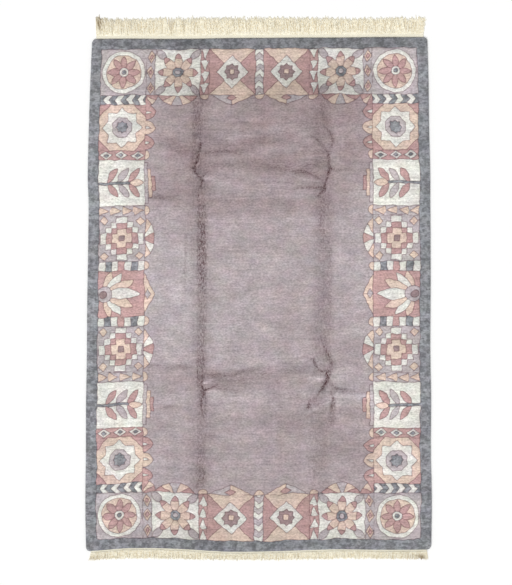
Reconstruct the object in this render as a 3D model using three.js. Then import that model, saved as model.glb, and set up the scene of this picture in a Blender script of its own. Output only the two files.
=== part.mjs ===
// A hand-knotted wool rug lying flat on the floor, with a comb of warp ends at each end of it.
// Millimetres, +Z up. The floor is z = 0, and the origin lies on it under the middle of the whole
// rug, fringes included. X runs across the rug and Y along it, towards the longer fringe.
//
// The pile's outline is uneven, as a hand-made rug's is: smooth curves through short tables of
// measured edges. Its top has the soft troughs that are left where the rug was folded for storage.

import * as THREE from "three";
import { mergeVertices } from "three/addons/utils/BufferGeometryUtils.js";

// Driving dimensions

const PILE_WIDTH = 2000;
const PILE_LENGTH = 3000;
const RUG_THICKNESS = 14;
const CORNER_RADIUS = 26;
const WARP_THICKNESS = 4;
const PIECE_GAP = 0.3;
const FRINGE_REACH = 1594;

// Finishes

const WOOL_PILE = { color: 0xa89ea1, roughness: 0.95, metalness: 0 };
const WARP_YARN = { color: 0xe9e1c8, roughness: 0.9, metalness: 0 };

// How the clipped edge of the pile rounds over: the height of the top at each inset from the edge.
// The last two rows only carry the round corners.
const RIM_PROFILE = [
  { inset: 0, height: 9 },
  { inset: 3, height: 12.2 },
  { inset: 10, height: RUG_THICKNESS },
  { inset: 18, height: RUG_THICKNESS },
  { inset: CORNER_RADIUS, height: RUG_THICKNESS },
];

// The two long edges: where the left and the right one lie, going up the rug.
const SIDE_EDGES = [
  { y: -1540, left: -1001, right: 1007 },
  { y: -1380, left: -1012, right: 1013 },
  { y: -1150, left: -1015, right: 1015 },
  { y: -900, left: -1012, right: 1009 },
  { y: -600, left: -1011, right: 1011 },
  { y: -300, left: -1006, right: 1006 },
  { y: 0, left: -1004, right: 1008 },
  { y: 300, left: -999, right: 1008 },
  { y: 580, left: -996, right: 1006 },
  { y: 720, left: -1001, right: 1006 },
  { y: 1010, left: -995, right: 999 },
  { y: 1290, left: -986, right: 996 },
  { y: 1470, left: -977, right: 989 },
];

// The two short edges: where the top and the bottom one lie, going from left to right.
const END_EDGES = [
  { x: -1015, top: 1462, bottom: -1540 },
  { x: -900, top: 1463, bottom: -1534 },
  { x: -790, top: 1464, bottom: -1524 },
  { x: -600, top: 1462, bottom: -1522 },
  { x: -400, top: 1463, bottom: -1530 },
  { x: -200, top: 1467, bottom: -1543 },
  { x: 60, top: 1468, bottom: -1541 },
  { x: 250, top: 1470, bottom: -1535 },
  { x: 450, top: 1470, bottom: -1529 },
  { x: 720, top: 1473, bottom: -1532 },
  { x: 1015, top: 1473, bottom: -1530 },
];

// The folds that still show, each a soft trough: half its width, and the route that it takes with
// its depth at each row.
const FOLDS = [
  {
    halfWidth: 34,
    route: [
      { x: -366, y: 1150, depth: 0 },
      { x: -350, y: 850, depth: 1.0 },
      { x: -330, y: 633, depth: 2.2 },
      { x: -336, y: 486, depth: 1.6 },
      { x: -336, y: -70, depth: 2.2 },
      { x: -338, y: -393, depth: 2.0 },
      { x: -315, y: -545, depth: 2.0 },
      { x: -344, y: -656, depth: 1.4 },
      { x: -342, y: -1180, depth: 0 },
    ],
  },
  {
    halfWidth: 34,
    route: [
      { x: 378, y: 1100, depth: 0 },
      { x: 385, y: 900, depth: 1.0 },
      { x: 419, y: 703, depth: 2.2 },
      { x: 390, y: 545, depth: 1.6 },
      { x: 402, y: 18, depth: 1.8 },
      { x: 425, y: -434, depth: 1.8 },
      { x: 437, y: -686, depth: 1.3 },
      { x: 373, y: -773, depth: 1.0 },
      { x: 373, y: -1150, depth: 0 },
    ],
  },
  {
    halfWidth: 34,
    route: [
      { x: 425, y: -492, depth: 1.2 },
      { x: 285, y: -686, depth: 0 },
    ],
  },
  {
    halfWidth: 26,
    route: [
      { x: -330, y: 795, depth: 0.6 },
      { x: -220, y: 797, depth: 1.2 },
      { x: -130, y: 795, depth: 0 },
    ],
  },
  {
    halfWidth: 30,
    route: [
      { x: 40, y: 712, depth: 0 },
      { x: 240, y: 700, depth: 1.4 },
      { x: 502, y: 690, depth: 0 },
    ],
  },
  {
    halfWidth: 30,
    route: [
      { x: -30, y: 625, depth: 0 },
      { x: 150, y: 609, depth: 1.2 },
      { x: 370, y: 600, depth: 0 },
    ],
  },
  {
    halfWidth: 46,
    route: [
      { x: -325, y: -572, depth: 1.6 },
      { x: 40, y: -560, depth: 1.2 },
      { x: 425, y: -520, depth: 1.6 },
    ],
  },
  {
    halfWidth: 28,
    route: [
      { x: 440, y: -604, depth: 1.0 },
      { x: 690, y: -612, depth: 0 },
    ],
  },
];

// Where the grid of the top is close enough to carry the folds, across and along the rug.
const FOLD_STEP = 16;
const OPEN_STEP = 112;
const FOLDS_ACROSS = [
  { from: -392, to: -286 },
  { from: 346, to: 470 },
];
const FOLDS_ALONG = [
  { from: -640, to: -500 },
  { from: 575, to: 830 },
];

// The fringes: where the comb starts and ends, how wide its woven web is, how far its first and last
// bundle of warp ends splay outwards, how much a bundle strays from its neighbours, and how far the
// bundles reach.
const BUNDLE_PITCH = 23;
const BUNDLE_ROOT = 17;
const BUNDLE_TIP = 11;
const SPLAY_DISTANCE = 130;
const FRINGES = {
  fringe_top: {
    edge: "top",
    from: -951,
    to: 968,
    web: 29,
    splay: { left: -12, right: 16 },
    stray: { sideways: 3, length: 6 },
    tips: [
      { x: -951, y: 1588 },
      { x: -860, y: 1576 },
      { x: -600, y: 1582 },
      { x: -250, y: 1589 },
      { x: 250, y: 1589 },
      { x: 560, y: 1582 },
      { x: 968, y: 1590 },
    ],
  },
  fringe_bottom: {
    edge: "bottom",
    from: -983,
    to: 988,
    web: 14,
    splay: { left: -14, right: 8 },
    stray: { sideways: 2, length: 4 },
    tips: [
      { x: -983, y: -1592 },
      { x: -900, y: -1585 },
      { x: -700, y: -1579 },
      { x: -500, y: -1582 },
      { x: -250, y: -1590 },
      { x: 0, y: -1591 },
      { x: 300, y: -1585 },
      { x: 600, y: -1579 },
      { x: 988, y: -1585 },
    ],
  },
};

// Curves through the tables

// One column of a table as a smooth curve: cubic pieces through the rows, whose slope at a row is
// that of the straight line between the rows on either side of it.
function curveThrough(rows, along, column) {
  const last = rows.length - 1;
  const at = rows.map((row) => row[along]);
  const value = rows.map((row) => row[column]);
  const slope = rows.map((_, i) => {
    const before = Math.max(i - 1, 0);
    const after = Math.min(i + 1, last);
    return (value[after] - value[before]) / (at[after] - at[before]);
  });
  return (place) => {
    let i = 0;
    while (i < last - 1 && place > at[i + 1]) {
      i += 1;
    }
    const span = at[i + 1] - at[i];
    const t = THREE.MathUtils.clamp((place - at[i]) / span, 0, 1);
    const bend = t * t * (3 - 2 * t);
    const leave = t * (1 - t) * (1 - t) * span * slope[i];
    const arrive = t * t * (1 - t) * span * slope[i + 1];
    return value[i] + (value[i + 1] - value[i]) * bend + leave - arrive;
  };
}

const leftEdge = curveThrough(SIDE_EDGES, "y", "left");
const rightEdge = curveThrough(SIDE_EDGES, "y", "right");
const topEdge = curveThrough(END_EDGES, "x", "top");
const bottomEdge = curveThrough(END_EDGES, "x", "bottom");

// The pile

// A place on the ideal rectangle of the pile, moved onto the rug as it lies. In the corner squares
// the rectangle is first drawn in to a quarter circle; then each axis is stretched between the two
// measured edges.
function placeOnRug(across, along) {
  const insetX = PILE_WIDTH / 2 - Math.abs(across);
  const insetY = PILE_LENGTH / 2 - Math.abs(along);
  const nearX = Math.max(1 - insetX / CORNER_RADIUS, 0);
  const nearY = Math.max(1 - insetY / CORNER_RADIUS, 0);
  const drawnX = nearX * (1 - Math.sqrt(1 - (nearY * nearY) / 2)) * CORNER_RADIUS;
  const drawnY = nearY * (1 - Math.sqrt(1 - (nearX * nearX) / 2)) * CORNER_RADIUS;
  const roundedX = across - Math.sign(across) * drawnX;
  const roundedY = along - Math.sign(along) * drawnY;
  const s = roundedX / PILE_WIDTH + 0.5;
  const t = roundedY / PILE_LENGTH + 0.5;
  return new THREE.Vector2(
    THREE.MathUtils.lerp(leftEdge(roundedY), rightEdge(roundedY), s),
    THREE.MathUtils.lerp(bottomEdge(roundedX), topEdge(roundedX), t),
  );
}

// How deep one fold is at a point: its depth at the nearest point of its route, fading to nothing at
// half its width as a raised cosine.
function foldDepth(fold, point) {
  let deepest = 0;
  for (let i = 0; i < fold.route.length - 1; i += 1) {
    const start = fold.route[i];
    const end = fold.route[i + 1];
    const run = new THREE.Vector2(end.x - start.x, end.y - start.y);
    const offset = new THREE.Vector2(point.x - start.x, point.y - start.y);
    const t = THREE.MathUtils.clamp(offset.dot(run) / run.lengthSq(), 0, 1);
    const distance = offset.distanceTo(run.clone().multiplyScalar(t));
    if (distance < fold.halfWidth) {
      const fade = 0.5 + 0.5 * Math.cos((Math.PI * distance) / fold.halfWidth);
      deepest = Math.max(deepest, THREE.MathUtils.lerp(start.depth, end.depth, t) * fade);
    }
  }
  return deepest;
}

// The height of the top: the rim profile at the nearer edge, less the deepest fold there.
function topHeight(across, along, point) {
  const inset = Math.min(PILE_WIDTH / 2 - Math.abs(across), PILE_LENGTH / 2 - Math.abs(along));
  let height = RUG_THICKNESS;
  for (let i = RIM_PROFILE.length - 2; i >= 0; i -= 1) {
    const outer = RIM_PROFILE[i];
    const inner = RIM_PROFILE[i + 1];
    if (inset < inner.inset) {
      const t = (inset - outer.inset) / (inner.inset - outer.inset);
      height = THREE.MathUtils.lerp(outer.height, inner.height, t);
    }
  }
  return height - Math.max(...FOLDS.map((fold) => foldDepth(fold, point)));
}

// Evenly spaced values from one number up to, and without, another.
function evenly(from, to, step) {
  const count = Math.ceil((to - from) / step);
  return Array.from({ length: count }, (_, i) => from + ((to - from) * i) / count);
}

// The lines of the grid in one direction: the rim's insets at both ends, close lines where the folds
// are, and open ones between.
function gridLines(size, foldZones) {
  const half = size / 2;
  const rim = RIM_PROFILE.map((row) => half - row.inset);
  const lines = rim.map((line) => -line);
  let reached = lines.pop();
  for (const zone of foldZones) {
    lines.push(...evenly(reached, zone.from, OPEN_STEP), ...evenly(zone.from, zone.to, FOLD_STEP));
    reached = zone.to;
  }
  lines.push(...evenly(reached, rim[rim.length - 1], OPEN_STEP), ...rim.reverse());
  return lines;
}

const linesAcross = gridLines(PILE_WIDTH, FOLDS_ACROSS);
const linesAlong = gridLines(PILE_LENGTH, FOLDS_ALONG);

// The pile and its foundation as one closed solid: the grid of the top, an upright wall round the
// rim, and a flat underside cut to the same outline.
function pileGeometry() {
  const corners = [];
  const faces = [];
  const addCorner = (point, height) => corners.push(point.x, point.y, height) / 3 - 1;
  const top = linesAcross.map((across) =>
    linesAlong.map((along) => {
      const point = placeOnRug(across, along);
      return addCorner(point, topHeight(across, along, point));
    }),
  );
  const lastAcross = linesAcross.length - 1;
  const lastAlong = linesAlong.length - 1;
  for (let i = 0; i < lastAcross; i += 1) {
    for (let j = 0; j < lastAlong; j += 1) {
      faces.push(top[i][j], top[i + 1][j], top[i + 1][j + 1]);
      faces.push(top[i][j], top[i + 1][j + 1], top[i][j + 1]);
    }
  }
  const rim = [
    ...linesAcross.slice(0, -1).map((_, i) => top[i][0]),
    ...linesAlong.slice(0, -1).map((_, j) => top[lastAcross][j]),
    ...linesAcross.slice(1).map((_, i) => top[lastAcross - i][lastAlong]),
    ...linesAlong.slice(1).map((_, j) => top[0][lastAlong - j]),
  ];
  const outline = rim.map((corner) => new THREE.Vector2(corners[3 * corner], corners[3 * corner + 1]));
  const sole = outline.map((point) => addCorner(point, 0));
  rim.forEach((corner, i) => {
    const next = (i + 1) % rim.length;
    faces.push(sole[i], sole[next], rim[next]);
    faces.push(sole[i], rim[next], corner);
  });
  for (const [a, b, c] of THREE.ShapeUtils.triangulateShape(outline, [])) {
    faces.push(sole[a], sole[c], sole[b]);
  }
  const geometry = new THREE.BufferGeometry();
  geometry.setAttribute("position", new THREE.Float32BufferAttribute(corners, 3));
  geometry.setIndex(faces);
  return geometry;
}

// The fringes

// A number between -1 and 1 that looks random but is the same for the same bundle each time: the
// digits far behind the point of a sine. The pace sets which series of numbers it is.
const SIDEWAYS_PACE = 12.9898;
const LENGTHWISE_PACE = 78.233;
const DIGITS_BEHIND = 43758.5453;

function stray(bundle, pace) {
  const scrambled = Math.sin((bundle + 1) * pace) * DIGITS_BEHIND;
  return 2 * (scrambled - Math.floor(scrambled)) - 1;
}

// The end of the pile at a place across the rug, along the straight pieces of the rim.
function rimAt(rim, x) {
  const after = Math.max(rim.findIndex((point) => point.x > x), 1);
  const start = rim[after - 1];
  const end = rim[after];
  return THREE.MathUtils.mapLinear(x, start.x, end.x, start.y, end.y);
}

// One comb, cut from a single sheet: its inner edge follows the end of the pile, the web is a strip
// along it, and each tooth is a bundle of warp ends that tapers, strays a little and, near the
// corners, splays outwards.
function fringeGeometry(fringe) {
  const outwards = fringe.edge === "top" ? 1 : -1;
  const rim = linesAcross.map((across) => placeOnRug(across, (outwards * PILE_LENGTH) / 2));
  const tipLine = curveThrough(fringe.tips, "x", "y");
  const shape = new THREE.Shape();
  const innerEdge = [
    new THREE.Vector2(fringe.from, rimAt(rim, fringe.from)),
    ...rim.filter((point) => point.x > fringe.from && point.x < fringe.to),
    new THREE.Vector2(fringe.to, rimAt(rim, fringe.to)),
  ];
  innerEdge.forEach((point, i) => {
    const y = point.y + outwards * PIECE_GAP;
    if (i === 0) {
      shape.moveTo(point.x, y);
    } else {
      shape.lineTo(point.x, y);
    }
  });
  const bundles = Math.round((fringe.to - fringe.from) / BUNDLE_PITCH);
  const pitch = (fringe.to - fringe.from) / bundles;
  const rootLine = (x) => rimAt(rim, x) + outwards * fringe.web;
  for (let i = bundles - 1; i >= 0; i -= 1) {
    const middle = fringe.from + pitch * (i + 0.5);
    const nearLeft = Math.max(1 - (middle - fringe.from) / SPLAY_DISTANCE, 0);
    const nearRight = Math.max(1 - (fringe.to - middle) / SPLAY_DISTANCE, 0);
    const splay = nearLeft * fringe.splay.left + nearRight * fringe.splay.right;
    const tipX = middle + splay + stray(i, SIDEWAYS_PACE) * fringe.stray.sideways;
    const tipY = tipLine(middle) + stray(i, LENGTHWISE_PACE) * fringe.stray.length;
    const tip = THREE.MathUtils.clamp(tipY, -FRINGE_REACH, FRINGE_REACH);
    const rootRight = i === bundles - 1 ? fringe.to : middle + BUNDLE_ROOT / 2;
    const rootLeft = i === 0 ? fringe.from : middle - BUNDLE_ROOT / 2;
    shape.lineTo(rootRight, rootLine(rootRight));
    shape.lineTo(tipX + BUNDLE_TIP / 2, tip);
    shape.lineTo(tipX - BUNDLE_TIP / 2, tip);
    shape.lineTo(rootLeft, rootLine(rootLeft));
  }
  shape.closePath();
  return new THREE.ExtrudeGeometry(shape, { depth: WARP_THICKNESS, bevelEnabled: false });
}

// The rug

// One named piece with a material of its own, its shared corners merged.
function piece(name, geometry, finish) {
  const bare = geometry.deleteAttribute("normal").deleteAttribute("uv");
  const mesh = new THREE.Mesh(mergeVertices(bare), new THREE.MeshStandardMaterial(finish));
  mesh.geometry.computeVertexNormals();
  mesh.name = name;
  return mesh;
}

const rug = new THREE.Group();
rug.add(piece("rug_body", pileGeometry(), WOOL_PILE));
for (const [name, fringe] of Object.entries(FRINGES)) {
  rug.add(piece(name, fringeGeometry(fringe), WARP_YARN));
}

export default rug;
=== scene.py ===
# A hand-knotted wool rug lying flat on the floor, seen from straight above: a carved pile on its
# woven foundation, and at each end a strip of bare weaving with the warp ends hanging out of it.
# Metres, in the frame's axes: X across the rug, Y along it, Z up from the floor.

import bpy
import numpy as np
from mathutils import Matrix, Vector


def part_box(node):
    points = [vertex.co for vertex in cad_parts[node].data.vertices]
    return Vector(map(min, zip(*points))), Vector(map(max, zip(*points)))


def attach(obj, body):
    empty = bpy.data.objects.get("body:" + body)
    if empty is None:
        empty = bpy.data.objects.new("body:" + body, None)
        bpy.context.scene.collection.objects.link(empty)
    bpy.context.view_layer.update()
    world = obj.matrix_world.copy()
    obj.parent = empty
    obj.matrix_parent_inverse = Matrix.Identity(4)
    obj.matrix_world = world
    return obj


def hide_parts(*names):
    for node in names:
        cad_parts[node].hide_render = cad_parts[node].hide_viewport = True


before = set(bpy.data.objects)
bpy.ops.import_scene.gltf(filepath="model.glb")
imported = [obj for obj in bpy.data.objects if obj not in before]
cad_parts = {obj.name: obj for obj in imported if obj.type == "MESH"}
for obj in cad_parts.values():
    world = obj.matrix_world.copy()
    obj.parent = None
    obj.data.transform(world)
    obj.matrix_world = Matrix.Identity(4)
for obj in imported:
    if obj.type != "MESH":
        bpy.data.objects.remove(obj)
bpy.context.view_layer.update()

# Driving sizes. The pile is drawn on an ideal rectangle, and then laid on the outline of the frame.

HALF_WIDTH = 1.0
HALF_LENGTH = 1.5
CORNER_RADIUS = 0.026
RUG_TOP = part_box("rug_body")[1].z
PILE_FOOT = 0.0042
FOUNDATION_TOP = 0.0040
FOUNDATION_INSET = 0.0015
WEB_TOP = 0.0034
FLOOR_LEVEL = -0.0003

# The frame's edges are read from its points on the floor, past this share of the way out and this
# far from the corners, and run straight on past that.
ON_FLOOR = 1e-4
OUTER_SHARE = 0.8
CORNER_CLEAR = 0.08
EDGE_RUN_ON = 0.16

# How the clipped edge of the pile rounds over: the drop below the top at each inset from the edge.
RIM_INSETS = np.array([0, 0.0008, 0.0026, 0.0055, 0.010])
RIM_DROPS = np.array([0.0064, 0.0041, 0.0021, 0.0007, 0])

# The pattern's plan: a plain band, a border of square blocks with bars between them, a plain field.
BAND = 0.062
BLOCK = 0.27
HALF_BLOCK = BLOCK / 2
BORDER = BAND + BLOCK
HAND_WOBBLE = 0.003

# How the pile is carved along every change of yarn, how uneven it was clipped, how far the cloth
# swells between the folds, and how deep a fine crease is where it is darkest.
CARVING_DEPTH = 0.0026
CARVING_HALF_WIDTH = 0.0085
CLIPPING_DEPTH = 0.0005
SWELLING = 0.0010
CREASE_DEPTH = 0.0008

# The share of its half width over which a fold is full, the share of its reach over which a nap
# patch is full, and how much lighter lifted pile is painted, as a painted highlight.
FOLD_FULL = 0.25
PATCH_FULL = 0.6
LIFTED_HIGHLIGHT = 0.22

# The grid of both sheets. Its cells are close between two insets from the edge, and twice as wide
# elsewhere. In the pile they are close too along the middle of the narrow folds, and as far as the
# fine creases reach and a little past that.
CELLS_ACROSS = 296
CELLS_ALONG = 444
BORDER_CELLS_FROM = 0.044
BORDER_CELLS_TO = 0.394
NARROW_FOLD = 0.060
NARROW_SHARE = 0.60
CREASE_CELLS_PAST = 0.005

# A sheet carries how far inside each yarn a point is, up to this far either way. Of its map, the
# view from above takes a share, and the flat face a small one that starts past it.
YARN_REACH = 0.03
VIEW_SHARE = 0.985
FLAT_FACE_FROM = 0.99
FLAT_FACE_SHARE = 0.008

# The folds that still show, each a soft trough with crushed pile in it, which is given painted shade:
# which way it runs, half its width, and then its stops. Columns of a stop: x, y, depth, and how
# crushed the pile is, which sets how strong its painted shade is.
FOLDS = [
    ("up", 0.058, (-0.354, 1.150, 0.0004, 0.62), (-0.356, 0.990, 0.0010, 0.70),
     (-0.360, 0.830, 0.0014, 0.65), (-0.363, 0.730, 0.0018, 0.62), (-0.362, 0.690, 0.0024, 0.58),
     (-0.341, 0.650, 0.0026, 0.55), (-0.342, 0.600, 0.0024, 0.58), (-0.342, 0.540, 0.0022, 0.54),
     (-0.335, 0.470, 0.0022, 0.54)),
    ("up", 0.049, (-0.339, 0.540, 0.0006, 0.40), (-0.334, 0.480, 0.0016, 0.84),
     (-0.331, 0.300, 0.0022, 0.94), (-0.332, 0.100, 0.0022, 0.94), (-0.331, -0.057, 0.0020, 0.62),
     (-0.331, -0.200, 0.0020, 0.58), (-0.335, -0.357, 0.0022, 0.70), (-0.336, -0.546, 0.0026, 0.76),
     (-0.324, -0.603, 0.0024, 0.70), (-0.328, -0.660, 0.0020, 0.60), (-0.328, -0.801, 0.0014, 0.50),
     (-0.334, -0.915, 0.0012, 0.54), (-0.341, -1.015, 0.0012, 0.72), (-0.335, -1.120, 0.0010, 0.82),
     (-0.345, -1.160, 0.0004, 0.60)),
    ("up", 0.036, (0.372, 1.130, 0.0002, 0.30), (0.390, 0.970, 0.0008, 0.30),
     (0.426, 0.900, 0.0012, 0.40), (0.430, 0.860, 0.0012, 0.35), (0.400, 0.800, 0.0014, 0.40),
     (0.413, 0.700, 0.0024, 0.60), (0.385, 0.620, 0.0022, 0.50), (0.366, 0.548, 0.0022, 0.65),
     (0.384, 0.486, 0.0018, 0.54), (0.372, 0.420, 0.0016, 0.72), (0.364, 0.360, 0.0016, 0.60),
     (0.396, 0.260, 0.0014, 0.50), (0.384, 0.140, 0.0014, 0.45), (0.396, 0.020, 0.0014, 0.50),
     (0.412, -0.090, 0.0014, 0.40), (0.388, -0.184, 0.0016, 0.40), (0.380, -0.300, 0.0018, 0.55),
     (0.401, -0.365, 0.0020, 0.60), (0.425, -0.439, 0.0022, 0.60), (0.404, -0.505, 0.0028, 0.80),
     (0.380, -0.580, 0.0024, 0.70), (0.340, -0.645, 0.0014, 0.46), (0.296, -0.690, 0.0008, 0.50)),
    ("up", 0.031, (0.405, -0.520, 0.0008, 0.20), (0.434, -0.620, 0.0014, 0.40),
     (0.434, -0.694, 0.0016, 0.60), (0.430, -0.780, 0.0010, 0.50), (0.385, -0.830, 0.0006, 0.30),
     (0.380, -1.150, 0.0000, 0.15)),
    ("up", 0.030, (0.412, 0.350, 0.0004, 0.20), (0.415, 0.230, 0.0008, 0.52),
     (0.416, 0.050, 0.0008, 0.52), (0.412, -0.100, 0.0008, 0.45), (0.412, -0.300, 0.0006, 0.35)),
    ("up", 0.084, (0.376, 1.150, 0.0006, 0.42), (0.373, 0.700, 0.0010, 0.36),
     (0.382, 0.300, 0.0014, 0.44), (0.375, -0.100, 0.0014, 0.42), (0.362, -0.420, 0.0014, 0.41),
     (0.350, -0.700, 0.0010, 0.38), (0.352, -1.150, 0.0004, 0.34)),
    ("up", 0.106, (-0.342, 1.150, 0.0004, 0.36), (-0.352, 0.700, 0.0010, 0.38),
     (-0.350, 0.450, 0.0012, 0.38), (-0.350, 0.200, 0.0012, 0.34), (-0.336, -0.050, 0.0010, 0.25),
     (-0.326, -0.400, 0.0010, 0.25), (-0.326, -0.700, 0.0010, 0.23), (-0.340, -1.150, 0.0006, 0.36)),
    ("up", 0.016, (-0.424, 0.310, 0.0004, 0.40), (-0.430, 0.100, 0.0006, 0.42),
     (-0.436, -0.090, 0.0000, 0.15)),
    ("across", 0.044, (-0.340, 0.880, 0.0004, 0.30), (-0.180, 0.840, 0.0006, 0.36),
     (0.060, 0.870, 0.0000, 0.30)),
    ("across", 0.034, (-0.335, 0.722, 0.0010, 0.40), (-0.200, 0.722, 0.0006, 0.35),
     (-0.080, 0.730, 0.0000, 0.12)),
    ("across", 0.030, (-0.030, 0.728, 0.0000, 0.14), (0.040, 0.716, 0.0012, 0.55),
     (0.180, 0.702, 0.0014, 0.60), (0.225, 0.688, 0.0014, 0.62), (0.310, 0.686, 0.0010, 0.40),
     (0.350, 0.666, 0.0008, 0.30)),
    ("across", 0.018, (0.230, 0.594, 0.0002, 0.20), (0.300, 0.592, 0.0010, 0.42),
     (0.360, 0.588, 0.0012, 0.60)),
    ("across", 0.024, (-0.640, 0.535, 0.0000, 0.45), (-0.560, 0.533, 0.0008, 0.50),
     (-0.490, 0.531, 0.0000, 0.10)),
    ("across", 0.024, (-0.640, -0.456, 0.0000, 0.25), (-0.430, -0.457, 0.0004, 0.30),
     (-0.350, -0.470, 0.0000, 0.10)),
    ("across", 0.030, (-0.330, -0.505, 0.0010, 0.60), (-0.230, -0.508, 0.0012, 0.50),
     (-0.110, -0.497, 0.0010, 0.45), (0.060, -0.475, 0.0006, 0.26), (0.200, -0.430, 0.0006, 0.34),
     (0.300, -0.395, 0.0002, 0.22)),
    ("across", 0.060, (-0.300, -0.540, 0.0008, 0.40), (-0.100, -0.535, 0.0008, 0.38),
     (0.080, -0.500, 0.0008, 0.34), (0.270, -0.460, 0.0006, 0.34)),
    ("across", 0.022, (-0.325, -0.600, 0.0018, 0.50), (-0.260, -0.576, 0.0012, 0.50),
     (-0.200, -0.588, 0.0008, 0.52), (-0.130, -0.600, 0.0000, 0.36)),
    ("across", 0.022, (0.440, -0.590, 0.0008, 0.55), (0.500, -0.600, 0.0008, 0.45),
     (0.560, -0.600, 0.0000, 0.15)),
    ("across", 0.050, (-0.240, 0.790, 0.0004, 0.26), (0.027, 0.867, 0.0006, 0.38),
     (0.185, 0.867, 0.0004, 0.34)),
    ("across", 0.052, (-0.108, 0.742, 0.0004, 0.24), (0.185, 0.714, 0.0006, 0.34),
     (0.343, 0.700, 0.0004, 0.30)),
    ("across", 0.056, (-0.560, 0.870, 0.0004, 0.26), (-0.430, 0.800, 0.0006, 0.40)),
    ("across", 0.056, (0.244, -0.627, 0.0004, 0.24), (0.314, -0.730, 0.0004, 0.26)),
    ("across", 0.070, (-0.250, -0.790, 0.0004, 0.14), (0.000, -0.780, 0.0004, 0.18),
     (0.250, -0.790, 0.0004, 0.20)),
    ("across", 0.020, (-0.640, -0.700, 0.0000, 0.25), (-0.450, -0.690, 0.0000, 0.20)),
]
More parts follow.
